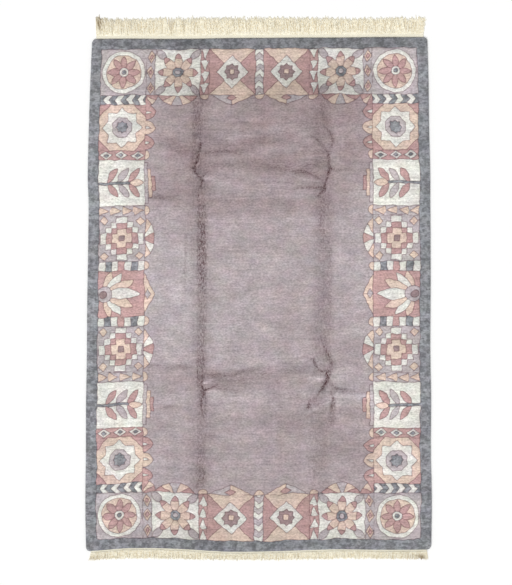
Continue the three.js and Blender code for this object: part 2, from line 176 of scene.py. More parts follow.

# The fine creases within the folds and beside them, each a shallow trough with painted shade in it or,
# below nothing, a low ridge with a painted highlight: how far each reaches to either side, and then
# its stops. Columns of a stop: x, y, and how dark it is painted, or below nothing how light.
CREASES = [
    (0.015, (-0.313, 0.791, 0.42), (-0.266, 0.803, 0.60), (-0.178, 0.803, 0.66), (-0.149, 0.797, 0.55),
     (-0.120, 0.785, 0.35), (-0.073, 0.762, 0.10)),
    (0.014, (-0.336, 0.856, 0.60), (-0.354, 0.779, 0.80), (-0.360, 0.750, 0.90), (-0.377, 0.697, 1.00),
     (-0.342, 0.650, 1.00), (-0.328, 0.633, 1.00), (-0.336, 0.609, 0.80), (-0.342, 0.580, 0.30)),
    (0.009, (-0.331, 0.650, 0.70), (-0.313, 0.668, 0.70), (-0.295, 0.686, 0.20)),
    (0.010, (-0.383, 0.703, 0.70), (-0.413, 0.721, 0.50), (-0.442, 0.732, 0.20)),
    (0.008, (-0.354, 0.568, 0.30), (-0.351, 0.551, 0.80), (-0.354, 0.527, 0.20)),
    (0.008, (-0.020, 0.618, 0.40), (0.039, 0.621, 0.40), (0.080, 0.615, 0.10)),
    (0.010, (0.367, 1.084, 0.50), (0.370, 1.043, 0.60), (0.379, 1.002, 0.50), (0.390, 0.961, 0.30)),
    (0.014, (0.390, 0.943, 0.40), (0.414, 0.920, 0.70), (0.431, 0.891, 0.80), (0.437, 0.861, 0.70),
     (0.431, 0.832, 0.30)),
    (0.015, (0.291, 0.891, 0.28), (0.320, 0.891, 0.46), (0.343, 0.873, 0.55), (0.390, 0.820, 0.58),
     (0.408, 0.797, 0.80), (0.414, 0.732, 0.80), (0.420, 0.703, 1.00)),
    (0.015, (0.420, 0.703, 1.00), (0.443, 0.700, 0.90), (0.466, 0.694, 0.80), (0.502, 0.694, 0.45),
     (0.548, 0.697, 0.10)),
    (0.014, (0.420, 0.703, 0.90), (0.408, 0.668, 0.80), (0.396, 0.633, 0.60), (0.379, 0.574, 0.90),
     (0.367, 0.557, 0.80), (0.343, 0.539, 0.60)),
    (0.009, (0.226, 0.586, 0.30), (0.267, 0.592, 0.45), (0.338, 0.592, 0.80), (0.373, 0.592, 0.80)),
    (0.008, (0.267, 0.709, 0.30), (0.291, 0.727, 0.60), (0.320, 0.727, 0.50), (0.355, 0.721, 0.30)),
    (0.015, (0.203, 0.686, 0.36), (0.244, 0.689, 0.62), (0.285, 0.680, 0.66), (0.320, 0.668, 0.56),
     (0.361, 0.639, 0.40)),
    (0.009, (0.396, 0.598, 0.80), (0.390, 0.568, 0.90)),
    (0.008, (0.414, 0.516, 0.40), (0.411, 0.492, 0.90), (0.405, 0.475, 0.60)),
    (0.009, (-0.354, -0.363, 0.20), (-0.360, -0.445, 0.35), (-0.354, -0.563, 0.45),
     (-0.336, -0.598, 0.80)),
    (0.010, (-0.325, -0.363, 0.20), (-0.325, -0.457, 0.40), (-0.331, -0.516, 0.60),
     (-0.331, -0.568, 0.90), (-0.319, -0.615, 1.00), (-0.331, -0.645, 1.00), (-0.336, -0.674, 0.80),
     (-0.325, -0.750, 0.40)),
    (0.010, (-0.319, -0.598, 0.90), (-0.260, -0.574, 0.70), (-0.231, -0.557, 0.30)),
    (0.020, (-0.307, -0.502, 0.36), (-0.266, -0.511, 0.44), (-0.166, -0.508, 0.40),
     (-0.125, -0.496, 0.34), (-0.073, -0.473, 0.28), (0.021, -0.463, 0.20)),
    (0.008, (0.097, -0.536, 0.50), (0.109, -0.545, 0.90), (0.121, -0.557, 0.40)),
    (0.011, (0.379, -0.334, 0.50), (0.396, -0.363, 0.70), (0.425, -0.422, 0.90), (0.431, -0.451, 0.40)),
    (0.015, (0.297, -0.410, 0.40), (0.320, -0.413, 0.80), (0.326, -0.428, 0.85), (0.343, -0.463, 0.75),
     (0.361, -0.481, 0.70), (0.396, -0.492, 0.65)),
    (0.014, (0.396, -0.481, 0.70), (0.402, -0.516, 1.00), (0.402, -0.539, 1.00), (0.367, -0.598, 0.90),
     (0.355, -0.615, 0.45), (0.332, -0.633, 0.25), (0.326, -0.674, 0.35)),
    (0.009, (0.414, -0.481, 0.50), (0.420, -0.510, 0.80), (0.414, -0.539, 0.70)),
    (0.023, (0.306, -0.630, 0.25), (0.299, -0.664, 0.60), (0.292, -0.697, 0.75), (0.273, -0.709, 0.30)),
    (0.009, (0.302, -0.735, 0.40), (0.285, -0.756, 0.60)),
    (0.019, (0.414, -0.545, 0.50), (0.437, -0.570, 0.48), (0.461, -0.584, 0.52), (0.496, -0.592, 0.44),
     (0.548, -0.605, 0.36), (0.666, -0.615, 0.24)),
    (0.010, (0.425, -0.604, 0.30), (0.437, -0.645, 0.90), (0.431, -0.691, 0.90), (0.425, -0.721, 0.40)),
    (0.008, (0.449, -0.650, 0.40), (0.443, -0.686, 0.60)),
    (0.009, (-0.477, -0.451, 0.30), (-0.442, -0.457, 0.40), (-0.424, -0.475, 0.40),
     (-0.418, -0.516, 0.20)),
    (0.009, (-0.624, -0.448, 0.40), (-0.565, -0.451, 0.40)),
    (0.009, (-0.553, -0.689, 0.30), (-0.506, -0.691, 0.55), (-0.477, -0.680, 0.20)),
    (0.011, (-0.635, 0.539, 0.50), (-0.588, 0.530, 0.50), (-0.518, 0.533, 0.30), (-0.477, 0.545, 0.30),
     (-0.459, 0.568, 0.50)),
    (0.009, (-0.313, 0.639, -1.00), (-0.295, 0.645, -0.60), (-0.260, 0.645, -0.30)),
    (0.008, (-0.345, 0.750, -0.50), (-0.357, 0.721, -0.60), (-0.366, 0.700, -0.40)),
    (0.012, (-0.442, 0.662, -0.30), (-0.401, 0.668, -0.50), (-0.366, 0.662, -0.30)),
    (0.009, (-0.325, 0.762, -0.20), (-0.272, 0.759, -0.40), (-0.202, 0.765, -0.20)),
    (0.009, (-0.002, 0.607, -0.35), (0.097, 0.609, -0.45), (0.185, 0.604, -0.40),
     (0.261, 0.609, -0.30)),
    (0.012, (0.244, 0.768, -0.30), (0.314, 0.776, -0.50), (0.390, 0.782, -0.40)),
    (0.014, (-0.319, -0.554, -0.90), (-0.301, -0.548, -0.70), (-0.272, -0.539, -0.30)),
    (0.012, (-0.301, -0.607, -0.40), (-0.260, -0.598, -0.60), (-0.225, -0.604, -0.30)),
    (0.009, (0.203, -0.428, -0.50), (0.250, -0.422, -0.60), (0.285, -0.416, -0.60),
     (0.314, -0.404, -0.30)),
    (0.011, (0.343, -0.422, -0.20), (0.379, -0.431, -0.50), (0.408, -0.451, -0.40)),
    (0.012, (0.261, -0.533, -0.40), (0.314, -0.519, -0.70), (0.349, -0.524, -0.80),
     (0.379, -0.530, -0.70)),
    (0.010, (0.308, -0.551, -0.50), (0.338, -0.542, -0.60), (0.367, -0.536, -0.50)),
    (0.010, (0.320, -0.709, -0.40), (0.361, -0.683, -0.50), (0.408, -0.668, -0.40)),
    (0.009, (0.455, -0.633, -0.30), (0.461, -0.609, -0.50), (0.472, -0.601, -0.40)),
    (0.014, (0.478, -0.624, -0.30), (0.566, -0.627, -0.40), (0.666, -0.633, -0.40)),
]

# Where the pile was lifted beside a fold: raised, and given a painted highlight where it would catch
# the light. How far it reaches to either side, and then its stops. Columns of a stop: x, y, height,
# and how much lighter it is painted.
LIFTED = [
    (0.026, (-0.310, 0.650, 0.0016, 0.80), (-0.250, 0.628, 0.0008, 0.40)),
    (0.040, (-0.230, 0.610, 0.0008, 0.40), (-0.130, 0.590, 0.0000, 0.20)),
    (0.016, (-0.400, 0.670, 0.0006, 0.35), (-0.360, 0.640, 0.0010, 0.50)),
    (0.014, (0.250, 0.645, 0.0006, 0.45), (0.350, 0.625, 0.0008, 0.60)),
    (0.014, (0.000, 0.640, 0.0004, 0.40), (0.150, 0.640, 0.0004, 0.35)),
    (0.016, (0.290, 0.770, 0.0004, 0.35), (0.380, 0.760, 0.0004, 0.40)),
    (0.030, (0.450, 0.760, 0.0006, 0.35), (0.520, 0.740, 0.0000, 0.20)),
    (0.020, (-0.320, -0.548, 0.0014, 0.90), (-0.270, -0.538, 0.0006, 0.40)),
    (0.016, (-0.305, -0.620, 0.0014, 0.85), (-0.260, -0.628, 0.0004, 0.30)),
    (0.014, (0.200, -0.400, 0.0004, 0.40), (0.325, -0.370, 0.0006, 0.50)),
    (0.018, (0.295, -0.532, 0.0008, 0.55), (0.388, -0.521, 0.0016, 0.90)),
    (0.016, (0.290, -0.730, 0.0004, 0.45), (0.405, -0.680, 0.0010, 0.55)),
    (0.018, (0.440, -0.630, 0.0010, 0.65), (0.470, -0.620, 0.0004, 0.35)),
    (0.016, (-0.240, -0.470, 0.0004, 0.35), (-0.100, -0.462, 0.0002, 0.25)),
    (0.040, (-0.325, 0.838, 0.0004, 0.20), (-0.108, 0.891, 0.0008, 0.36), (0.144, 0.943, 0.0010, 0.40),
     (0.244, 0.996, 0.0004, 0.25)),
    (0.036, (-0.225, 0.750, 0.0004, 0.25), (-0.080, 0.768, 0.0008, 0.40), (0.097, 0.809, 0.0008, 0.40),
     (0.280, 0.805, 0.0004, 0.30)),
    (0.034, (-0.600, 0.732, 0.0004, 0.30), (-0.420, 0.736, 0.0006, 0.35)),
    (0.036, (-0.270, -0.645, 0.0004, 0.30), (0.200, -0.660, 0.0004, 0.25)),
]

# Painted shade of the nap: patches where the nap lies the other way or has been brushed and so looks
# darker in the light, or below nothing lighter, and darker towards both ends and along the right edge.
# Columns: middle x, middle y, half the width, half the length, how much darker it is painted.
NAP_SHADE_PATCHES = [
    (0.02, 0.90, 0.80, 0.52, 0.22),
    (-0.20, 0.76, 0.24, 0.10, 0.06),
    (0.17, 0.73, 0.28, 0.10, 0.08),
    (-0.53, 0.53, 0.16, 0.06, 0.06),
    (-0.16, 0.59, 0.10, 0.05, -0.06),
    (0.02, 0.47, 0.50, 0.07, 0.12),
    (0.00, 0.30, 0.75, 0.13, 0.05),
    (-0.45, 0.26, 0.09, 0.10, 0.05),
    (-0.17, -0.20, 0.14, 0.17, -0.06),
    (0.33, -0.17, 0.30, 0.24, 0.09),
    (-0.50, -0.31, 0.16, 0.10, 0.08),
    (-0.47, -0.53, 0.13, 0.10, 0.11),
    (0.03, 0.63, 0.36, 0.14, -0.05),
    (-0.03, 0.91, 0.10, 0.08, 0.09),
    (0.60, 0.82, 0.12, 0.12, 0.07),
    (0.61, 0.55, 0.10, 0.14, -0.09),
    (0.18, -0.82, 0.09, 0.28, 0.07),
    (-0.56, -1.08, 0.16, 0.10, -0.08),
    (-0.45, 0.79, 0.11, 0.11, 0.07),
    (0.30, 1.08, 0.42, 0.16, 0.09),
    (-0.53, -0.03, 0.19, 0.45, -0.11),
    (0.57, 0.06, 0.16, 0.42, -0.05),
    (-0.03, -0.53, 0.42, 0.08, 0.14),
    (-0.55, -0.50, 0.20, 0.06, 0.05),
    (0.55, -0.39, 0.24, 0.12, 0.09),
    (0.00, -1.00, 0.80, 0.44, 0.09),
    (0.52, -0.88, 0.20, 0.22, 0.08),
    (0.56, -0.65, 0.15, 0.05, -0.10),
    (0.00, 1.50, 1.20, 0.45, 0.05),
    (0.00, 1.50, 1.20, 0.12, 0.24),
    (-0.37, 1.44, 0.13, 0.09, 0.12),
    (0.34, 1.44, 0.14, 0.08, 0.08),
    (0.00, -1.50, 1.20, 0.45, 0.05),
    (0.00, -1.50, 1.20, 0.13, 0.09),
    (-0.36, -1.47, 0.12, 0.08, 0.10),
    (1.00, 0.00, 0.11, 1.45, 0.05),
]


# Outline

def frame_edges(node):
    """The left, right, bottom and top edge of a node's foot, each as places along it and where it
    lies there. Near the corners an edge runs straight on from its last two places."""
    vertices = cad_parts[node].data.vertices
    spots = np.empty(len(vertices) * 3)
    vertices.foreach_get("co", spots)
    spots = spots.reshape(-1, 3)
    foot = np.unique(spots[spots[:, 2] < ON_FLOOR].round(6), axis=0)
    low = foot.min(axis=0)
    high = foot.max(axis=0)
    edges = []
    for axis in (0, 1):
        other = 1 - axis
        clear = np.minimum(foot[:, other] - low[other], high[other] - foot[:, other]) > CORNER_CLEAR
        for outer in (foot[:, axis] < OUTER_SHARE * low[axis], foot[:, axis] > OUTER_SHARE * high[axis]):
            edge = foot[clear & outer]
            edge = edge[np.argsort(edge[:, other])]
            before = edge[0] + EDGE_RUN_ON * (edge[0] - edge[1]) / (edge[1] - edge[0])[other]
            after = edge[-1] + EDGE_RUN_ON * (edge[-1] - edge[-2]) / (edge[-1] - edge[-2])[other]
            edge = np.vstack([before, edge, after])
            edges.append((edge[:, other], edge[:, axis]))
    return edges


LEFT_EDGE, RIGHT_EDGE, BOTTOM_EDGE, TOP_EDGE = frame_edges("rug_body")


def place_on_rug(u, v):
    """Points of the ideal rectangle as they lie: in the corner squares they are drawn in to a
    quarter circle, and then each axis is stretched between the two edges of the frame."""
    near_u = np.maximum(1 - (HALF_WIDTH - np.abs(u)) / CORNER_RADIUS, 0)
    near_v = np.maximum(1 - (HALF_LENGTH - np.abs(v)) / CORNER_RADIUS, 0)
    round_u = u - np.sign(u) * near_u * (1 - np.sqrt(1 - near_v**2 / 2)) * CORNER_RADIUS
    round_v = v - np.sign(v) * near_v * (1 - np.sqrt(1 - near_u**2 / 2)) * CORNER_RADIUS
    s = round_u / (2 * HALF_WIDTH) + 0.5
    t = round_v / (2 * HALF_LENGTH) + 0.5
    x = (1 - s) * np.interp(round_v, *LEFT_EDGE) + s * np.interp(round_v, *RIGHT_EDGE)
    y = (1 - t) * np.interp(round_u, *BOTTOM_EDGE) + t * np.interp(round_u, *TOP_EDGE)
    return x, y


def unevenness(x, y, wavelength, seed):
    """From about -1 to 1: the sum of eight sine waves of about one length, each in a direction of
    its own, over the root of their number."""
    chance = np.random.default_rng(seed)
    waves = 8
    total = 0
    for _ in range(waves):
        heading, start = chance.uniform(0, 2 * np.pi, 2)
        length = wavelength * chance.uniform(0.7, 1.4)
        along = x * np.cos(heading) + y * np.sin(heading)
        total = total + np.sin(2 * np.pi * along / length + start)
    return total / np.sqrt(waves)


# Outlines for the pattern. Each gives how far inside it a point is, and less than nothing outside.
# Their sizes are shares of half a block, with a along the border and b towards the field.

ROOT_2 = np.sqrt(2)


def oblong(a, b, half_a, half_b):
    return np.minimum(half_a - np.abs(a), half_b - np.abs(b))


def disc(a, b, radius):
    return radius - np.hypot(a, b)


def diamond(a, b, reach_a, reach_b):
    return (1 - np.abs(a) / reach_a - np.abs(b) / reach_b) / np.hypot(1 / reach_a, 1 / reach_b)


def turned_square(a, b, half):
    return half - (np.abs(a) + np.abs(b)) / ROOT_2


def star(a, b, half):
    """Eight points: a square with a turned one over it."""
    return np.maximum(oblong(a, b, half, half), turned_square(a, b, half))


def octagon(a, b, half):
    return np.minimum(oblong(a, b, half, half), turned_square(a, b, half))


def stepped(a, b, reach, steps):
    """A diamond with stepped sides: oblongs that grow one way as they shrink the other."""
    shares = (np.arange(steps) + 1) / steps
    oblongs = [oblong(a, b, reach * share, reach * (1 + 1 / steps - share)) for share in shares]
    return np.max(oblongs, axis=0)


def leaf(a, b, half_length, half_width):
    """Pointed at both ends, along b: what two circles share."""
    radius = (half_length**2 + half_width**2) / (2 * half_width)
    return radius - np.hypot(np.abs(a) + radius - half_width, b)


def turned(a, b, degrees):
    angle = np.radians(degrees)
    return a * np.cos(angle) - b * np.sin(angle), b * np.cos(angle) + a * np.sin(angle)


def fanned(a, b, count):
    """The plane folded about its centre, so that what is drawn up the b axis shows count times."""
    wedge = 2 * np.pi / count
    angle = (np.arctan2(a, b) + wedge / 2) % wedge - wedge / 2
    radius = np.hypot(a, b)
    return radius * np.sin(angle), radius * np.cos(angle)


def repeated(b, pitch):
    return (b + pitch / 2) % pitch - pitch / 2


# Blocks. Each gives its layers from the ground up, as the number of a yarn in the block's own list
# and how far inside the layer a point is. Yarn 0 is the ground, which is laid already.

def star_block(a, b):
    yield 1, (np.abs(a) + np.abs(b) - 1.50) / ROOT_2
    yield 2, star(a, b, 0.63)
    yield 3, octagon(a, b, 0.44)
    yield 4, star(a, b, 0.21)


def blossom_block(a, b):
    for heading in (45, -45):
        p, q = turned(a, b, heading)
        yield 4, leaf(p, np.abs(q) - 1.06, 0.31, 0.15)
    p, q = fanned(a, b, 8)
    petal = leaf(p, q - 0.52, 0.36, 0.175)
    yield 1, petal
    yield 2, np.minimum(petal, q - 0.64)
    yield 3, disc(a, b, 0.23)
    yield 4, disc(a, b, 0.11)


def stepped_block(a, b):
    yield 3, diamond(np.abs(a) - 0.76, np.abs(b) - 0.76, 0.19, 0.19)
    yield 1, stepped(a, b, 0.94, 4)
    yield 2, stepped(a, b, 0.68, 3)
    yield 3, stepped(a, b, 0.42, 2)
    yield 4, oblong(a, b, 0.12, 0.12)


def lotus_block(a, b):
    root = b + 0.68
    petals = ((2, 78, 1.04, 0.19), (1, 52, 1.16, 0.20), (2, 26, 1.36, 0.21))
    for number, heading, reach, half_width in petals:
        for side in (-1, 1):
            p, q = turned(a, root, side * heading)
            yield number, leaf(p, q - reach / 2, reach / 2, half_width)
    yield 1, leaf(a, root - 0.76, 0.76, 0.25)
    yield 3, disc(a, root + 0.04, 0.34)
    yield 4, disc(a, root + 0.10, 0.16)


def spray_block(a, b):
    yield 3, oblong(a, b + 0.24, 0.055, 0.76)
    for number, place in ((1, -0.60), (2, -0.14), (1, 0.32)):
        for side in (-1, 1):
            p, q = turned(a - side * 0.03, b - place, side * 54)
            yield number, leaf(p, q - 0.38, 0.37, 0.145)
    yield 4, leaf(a, b - 0.66, 0.30, 0.15)


def quartered_block(a, b):
    yield 1, (np.abs(a) - np.abs(b)) / ROOT_2
    yield 2, diamond(a, b, 0.72, 0.72)
    yield 3, star(a, b, 0.27)
    yield 4, oblong(a, b, 0.11, 0.11)


def medallion_block(a, b):
    yield 1, disc(a, b, 0.93)
    yield 2, disc(a, b, 0.75)
    p, q = fanned(a, b, 8)
    yield 3, leaf(p, q - 0.42, 0.29, 0.14)
    yield 1, disc(a, b, 0.20)
    yield 4, disc(a, b, 0.10)


# Bars, drawn the same way, with a from -1 to 1 across the bar and b in shares of half a block. The
# last value is how wide half the bar is in those shares.

def chevron_bar(a, b, half):
    wave = repeated(b - np.abs(a) * half * 0.9, 0.5)
    yield 1, (0.125 - np.abs(wave)) * 0.74


def diamond_bar(a, b, half):
    step = repeated(b, 2 / 3)
    yield 1, diamond(a * half, step, half * 0.88, 0.29)
    yield 2, diamond(a * half, step, half * 0.44, 0.13)


def arrow_bar(a, b, half):
    step = (b + 1) % 0.5
    slope = half / 0.5
    yield 1, (half * 0.92 - np.abs(a) * half - slope * step) / np.hypot(1, slope)


def striped_bar(a, b, half):
    width = 2 / 7
    for number in (1, 3, 5):
        yield number // 2 + 1, width / 2 - np.abs(b + 1 - width * (number + 0.5))


# The border's inner edge, drawn the same way, with b from the inner line into the field.

def sector(a, b, start, end):
    """The wedge between two rays from the centre, in degrees from the a axis, less than half a turn
    apart."""
    start = np.radians(start)
    end = np.radians(end)
    return np.minimum(b * np.cos(start) - a * np.sin(start), a * np.sin(end) - b * np.cos(end))


def petal_edge(a, b):
    """Three petals side by side, the middle one in a yarn of its own and each with a rib."""
    for number, place in ((0, -2 / 3), (1, 0), (0, 2 / 3)):
        yield number, np.minimum(leaf(a - place, b, 0.44, 0.31), b)
        yield 2, np.minimum(leaf(a - place, b, 0.27, 0.06), b)


def step_edge(a, b):
    """Three courses of bricks, each narrower than the one below it."""
    for number, half, low, high in ((0, 0.88, 0, 0.15), (1, 0.60, 0.15, 0.30), (2, 0.32, 0.30, 0.45)):
        yield number, np.minimum(half - np.abs(a), np.minimum(b - low, high - b))


def fan_edge(a, b):
    """A flat half round, cut into wedges by rays from under its foot."""
    half_width = 0.88
    height = 0.44
    radius = (half_width**2 + height**2) / (2 * height)
    half_round = np.minimum(disc(a, b + radius - height, radius), b)
    for number, start, end in ((0, 0, 28), (1, 28, 64), (2, 64, 116), (1, 116, 152), (0, 152, 180)):
        yield number, np.minimum(half_round, sector(a, b + 0.1, start, end))


def point_edge(a, b):
    """A low gable of two halves, with a lozenge on its foot."""
    gable = np.minimum(diamond(a, b, 0.92, 0.46), b)
    yield 0, np.minimum(gable, a)
    yield 1, np.minimum(gable, -a)
    yield 2, np.minimum(diamond(a, b - 0.13, 0.24, 0.13), b)


def bead_edge(a, b):
    yield 0, np.minimum(disc(a, b, 0.20), b)


# The order of the border, from the corner to the middle of a side, where it turns back.
# Columns: block, its yarns, inner edge, its yarns.
LONG_SIDE_BLOCKS = [
    (star_block, ("peach", "rose", "ivory", "grey", "slate"), petal_edge, ("rose", "peach", "ivory")),
    (spray_block, ("ivory", "rose", "grey", "slate", "peach"), step_edge, ("grey", "peach", "rose")),
    (stepped_block, ("grey", "ivory", "rose", "peach", "plum"), fan_edge, ("peach", "ivory", "rose")),
    (lotus_block, ("rose", "ivory", "peach", "grey", "plum"), point_edge, ("peach", "ivory", "grey")),
]
SHORT_SIDE_BLOCKS = [
    (blossom_block, ("ivory", "peach", "rose", "slate", "grey"), fan_edge, ("rose", "peach", "grey")),
    (quartered_block, ("peach", "rose", "ivory", "plum", "peach"), point_edge, ("grey", "peach", "rose")),
]
# Columns: bar, its yarns.
LONG_SIDE_BARS = [
    (chevron_bar, ("ivory", "slate")),
    (diamond_bar, ("rose", "ivory", "slate")),
    (arrow_bar, ("grey", "peach")),
    (striped_bar, ("ivory", "slate", "rose", "slate")),
]
SHORT_SIDE_BARS = [
    (diamond_bar, ("grey", "peach", "rose")),
    (arrow_bar, ("rose", "ivory")),
    (chevron_bar, ("grey", "ivory")),
]
CORNER_YARNS = ("grey", "ivory", "peach", "rose", "slate")


class Chart:
    """The knotting chart: for each yarn, how far every point is inside it, in metres, and below
    nothing outside. Slate is what the other yarns leave bare."""

    OTHER_YARNS = ("mauve", "ivory", "peach", "rose", "grey", "plum")
    FAR = 0.05

    def __init__(self, u, v):
        self.across = u
        self.along = v
        self.inside = {yarn: np.full(u.shape, -self.FAR) for yarn in self.OTHER_YARNS}
        self.inside["slate"] = np.full(u.shape, self.FAR)
        self.dye = np.zeros(u.shape)
        self.chance = np.random.default_rng(11)

    def lay(self, yarn, inside):
        """Lays a patch over what is there: its own yarn is inside it or where it was before, and
        every other yarn is now outside it."""
        for name, depth in self.inside.items():
            if name == yarn:
                np.maximum(depth, inside, out=depth)
            else:
                np.minimum(depth, -inside, out=depth)
        self.dye = np.where(inside > 0, self.chance.uniform(-1, 1), self.dye)

    def lay_layers(self, layers, yarns, limit=None):
        """Lays the layers of a motif, whose sizes are shares of half a block, within its limit."""
        for number, inside in layers:
            if limit is not None:
                inside = np.minimum(inside, limit)
            self.lay(yarns[number], inside * HALF_BLOCK)

    def lay_side(self, along, inset, half_run, blocks, bars):
        """One pair of opposite sides: blocks at equal gaps, from the corner to the middle and back,
        with a bar in each gap. What stands in the middle, a block or a bar, is there only once."""
        count = len(blocks) + len(bars) - 1
        gap = (2 * half_run - count * BLOCK) / (count + 1)
        half_gap = gap / 2 / HALF_BLOCK
        b = (inset - BAND - HALF_BLOCK) / HALF_BLOCK
        into_field = b - 1
        for i, (block, yarns, edge, edge_yarns) in enumerate(blocks):
            middle = half_run - gap - HALF_BLOCK - i * (gap + BLOCK)
            a = (np.abs(along) - middle) / HALF_BLOCK
            self.lay_layers(edge(a, into_field), edge_yarns)
            square = oblong(a, b, 1, 1)
            self.lay(yarns[0], square * HALF_BLOCK)
            self.lay_layers(block(a, b), yarns, square)
        for i, (bar, yarns) in enumerate(bars):
            middle = half_run - gap / 2 - i * (gap + BLOCK)
            a = (np.abs(along) - middle) / HALF_BLOCK
            self.lay_layers(bead_edge(a, into_field), ("peach",))
            strip = oblong(a, b, half_gap, 1)
            self.lay(yarns[0], strip * HALF_BLOCK)
            self.lay_layers(bar(a / half_gap, b, half_gap), yarns, strip)

    def draw(self):
        """The whole chart: the field, both pairs of sides, and the corners over them."""
        field = oblong(self.across, self.along, HALF_WIDTH - BORDER, HALF_LENGTH - BORDER)
        self.lay("mauve", field)
        from_side = HALF_WIDTH - np.abs(self.across)
        from_end = HALF_LENGTH - np.abs(self.along)
        self.lay_side(self.along, from_side, HALF_LENGTH - BORDER, LONG_SIDE_BLOCKS, LONG_SIDE_BARS)
        self.lay_side(self.across, from_end, HALF_WIDTH - BORDER, SHORT_SIDE_BLOCKS, SHORT_SIDE_BARS)
        a = (BAND + HALF_BLOCK - from_side) / HALF_BLOCK
        b = (BAND + HALF_BLOCK - from_end) / HALF_BLOCK
        for yarn, start in (("rose", 180), ("peach", 210), ("rose", 240)):
            wedge = np.minimum(disc(a + 1, b + 1, 0.52), sector(a + 1, b + 1, start, start + 30))
            self.lay(yarn, wedge * HALF_BLOCK)
        square = oblong(a, b, 1, 1)
        self.lay(CORNER_YARNS[0], square * HALF_BLOCK)
        self.lay_layers(medallion_block(a, b), CORNER_YARNS, square)
        return self


def drawn_chart(u, v):
    """The chart on the ideal rectangle, its lines a little off true as a knotter's hand leaves them."""
    wobble_u = unevenness(u, v, 0.16, seed=21) + 0.5 * unevenness(u, v, 0.05, seed=22)
    wobble_v = unevenness(u, v, 0.16, seed=23) + 0.5 * unevenness(u, v, 0.05, seed=24)
    return Chart(u + HAND_WOBBLE * wobble_u, v + HAND_WOBBLE * wobble_v).draw()


# Folds and nap

def nearest_on_route(route, x, y):
    """For every point, its distance to a route of straight runs and the route's other columns at
    the nearest place."""
    distance = np.full(x.shape, np.inf)
    values = np.zeros((len(route[0]) - 2,) + x.shape)
    for start, end in zip(route[:-1], route[1:]):
        run_x = end[0] - start[0]
        run_y = end[1] - start[1]
        share = ((x - start[0]) * run_x + (y - start[1]) * run_y) / (run_x**2 + run_y**2)
        share = np.clip(share, 0, 1)
        here = np.hypot(x - start[0] - share * run_x, y - start[1] - share * run_y)
        closer = here < distance
        distance = np.where(closer, here, distance)
        for column, value in enumerate(values):
            between = start[column + 2] + share * (end[column + 2] - start[column + 2])
            values[column] = np.where(closer, between, value)
    return distance, values


def faded(distance, reach):
    """From one at no distance to nothing at the reach, as a raised cosine."""
    return 0.5 + 0.5 * np.cos(np.pi * np.minimum(distance / reach, 1))


def fold_marks(x, y):
    """How deep the folds are at every point, less the lift beside them, and how crushed the pile is
    along folds up the rug and across it, which sets how strong their painted shade is. A fold is full
    over a share of its half width and fades over the rest of it. Depths add up, and of the crushed pile
    the strongest counts."""
    depth = np.zeros(x.shape)
    crushed_shade = {"up": np.zeros(x.shape), "across": np.zeros(x.shape)}
    for runs, half_width, *route in FOLDS:
        distance, (fold_depth, fold_crush_shade) = nearest_on_route(route, x, y)
        full = FOLD_FULL * half_width
        fade = faded(np.maximum(distance - full, 0), half_width - full)
        depth += fold_depth * fade
        crushed_shade[runs] = np.maximum(crushed_shade[runs], fold_crush_shade * fade)
    return depth - lifted_marks(x, y)[0], crushed_shade["up"], crushed_shade["across"]


def crease_marks(x, y):
    """How dark the painted shade of the fine creases makes every point, or below nothing how light
    their painted highlight makes it: the strongest.
    """
    mark = np.zeros(x.shape)
    for reach, *route in CREASES:
        distance, (dark,) = nearest_on_route(route, x, y)
        here = dark * faded(distance, reach)
        mark = np.where(np.abs(here) > np.abs(mark), here, mark)
    return mark


def lifted_marks(x, y):
    """How high the pile is lifted beside the folds, and how strong its painted highlight is there."""
    height = np.zeros(x.shape)
    highlight = np.zeros(x.shape)
    for reach, *route in LIFTED:
        distance, (lift_height, lift_highlight) = nearest_on_route(route, x, y)
        fade = faded(distance, reach)
        height = np.maximum(height, lift_height * fade)
        highlight = np.maximum(highlight, lift_highlight * fade)
    return height, highlight


def painted_nap_shade(x, y):
    """How much painted shade the nap gets at every point: the patches together, each full over a share
    of its reach both ways and fading over the rest as a smooth step, less the painted highlight on
    lifted pile."""
    shade = np.zeros(x.shape)
    for middle_x, middle_y, half_width, half_length, shade_amount in NAP_SHADE_PATCHES:
        fade = 1.0
        for reach in (np.abs(x - middle_x) / half_width, np.abs(y - middle_y) / half_length):
            step = np.clip((1 - reach) / (1 - PATCH_FULL), 0, 1)
            fade = fade * step**2 * (3 - 2 * step)
        shade += shade_amount * fade
    return shade - LIFTED_HIGHLIGHT * lifted_marks(x, y)[1]


# Meshes

def add_piece(name, points, faces, material):
    """One smooth mesh, with its object at the origin."""
    mesh = bpy.data.meshes.new(name)
    mesh.from_pydata(points, [], faces)
    mesh.polygons.foreach_set("use_smooth", np.ones(len(mesh.polygons), bool))
    mesh.materials.append(material)
    piece = bpy.data.objects.new(name, mesh)
    bpy.context.collection.objects.link(piece)
    return piece


def add_attribute(piece, name, values):
    attribute = piece.data.attributes.new(name, "FLOAT", "POINT")
    attribute.data.foreach_set("value", np.asarray(values, np.float32))


def add_map(piece, spots):
    """A UV map from one pair of numbers for each corner of each face."""
    layer = piece.data.uv_layers.new(name="OFBake")
    layer.data.foreach_set("uv", np.asarray(spots, np.float32).ravel())


def corner_vertices(piece):
    vertices = np.empty(len(piece.data.loops), np.int32)
    piece.data.loops.foreach_get("vertex_index", vertices)
    return vertices


def sheet_lines(half, cells):
    """Lines from one edge to the other: the rim's insets at both ends, and even cells between."""
    reach = half - RIM_INSETS[-1]
    even = np.linspace(-reach, reach, cells + 1)
    return np.concatenate([RIM_INSETS[:-1] - half, even, half - RIM_INSETS[-2::-1]])


def inset_from_edge(u, v):
    return np.minimum(HALF_WIDTH - np.abs(u), HALF_LENGTH - np.abs(v))


def in_border(u, v):
    inset = inset_from_edge(u, v)
    return (inset > BORDER_CELLS_FROM) & (inset < BORDER_CELLS_TO)


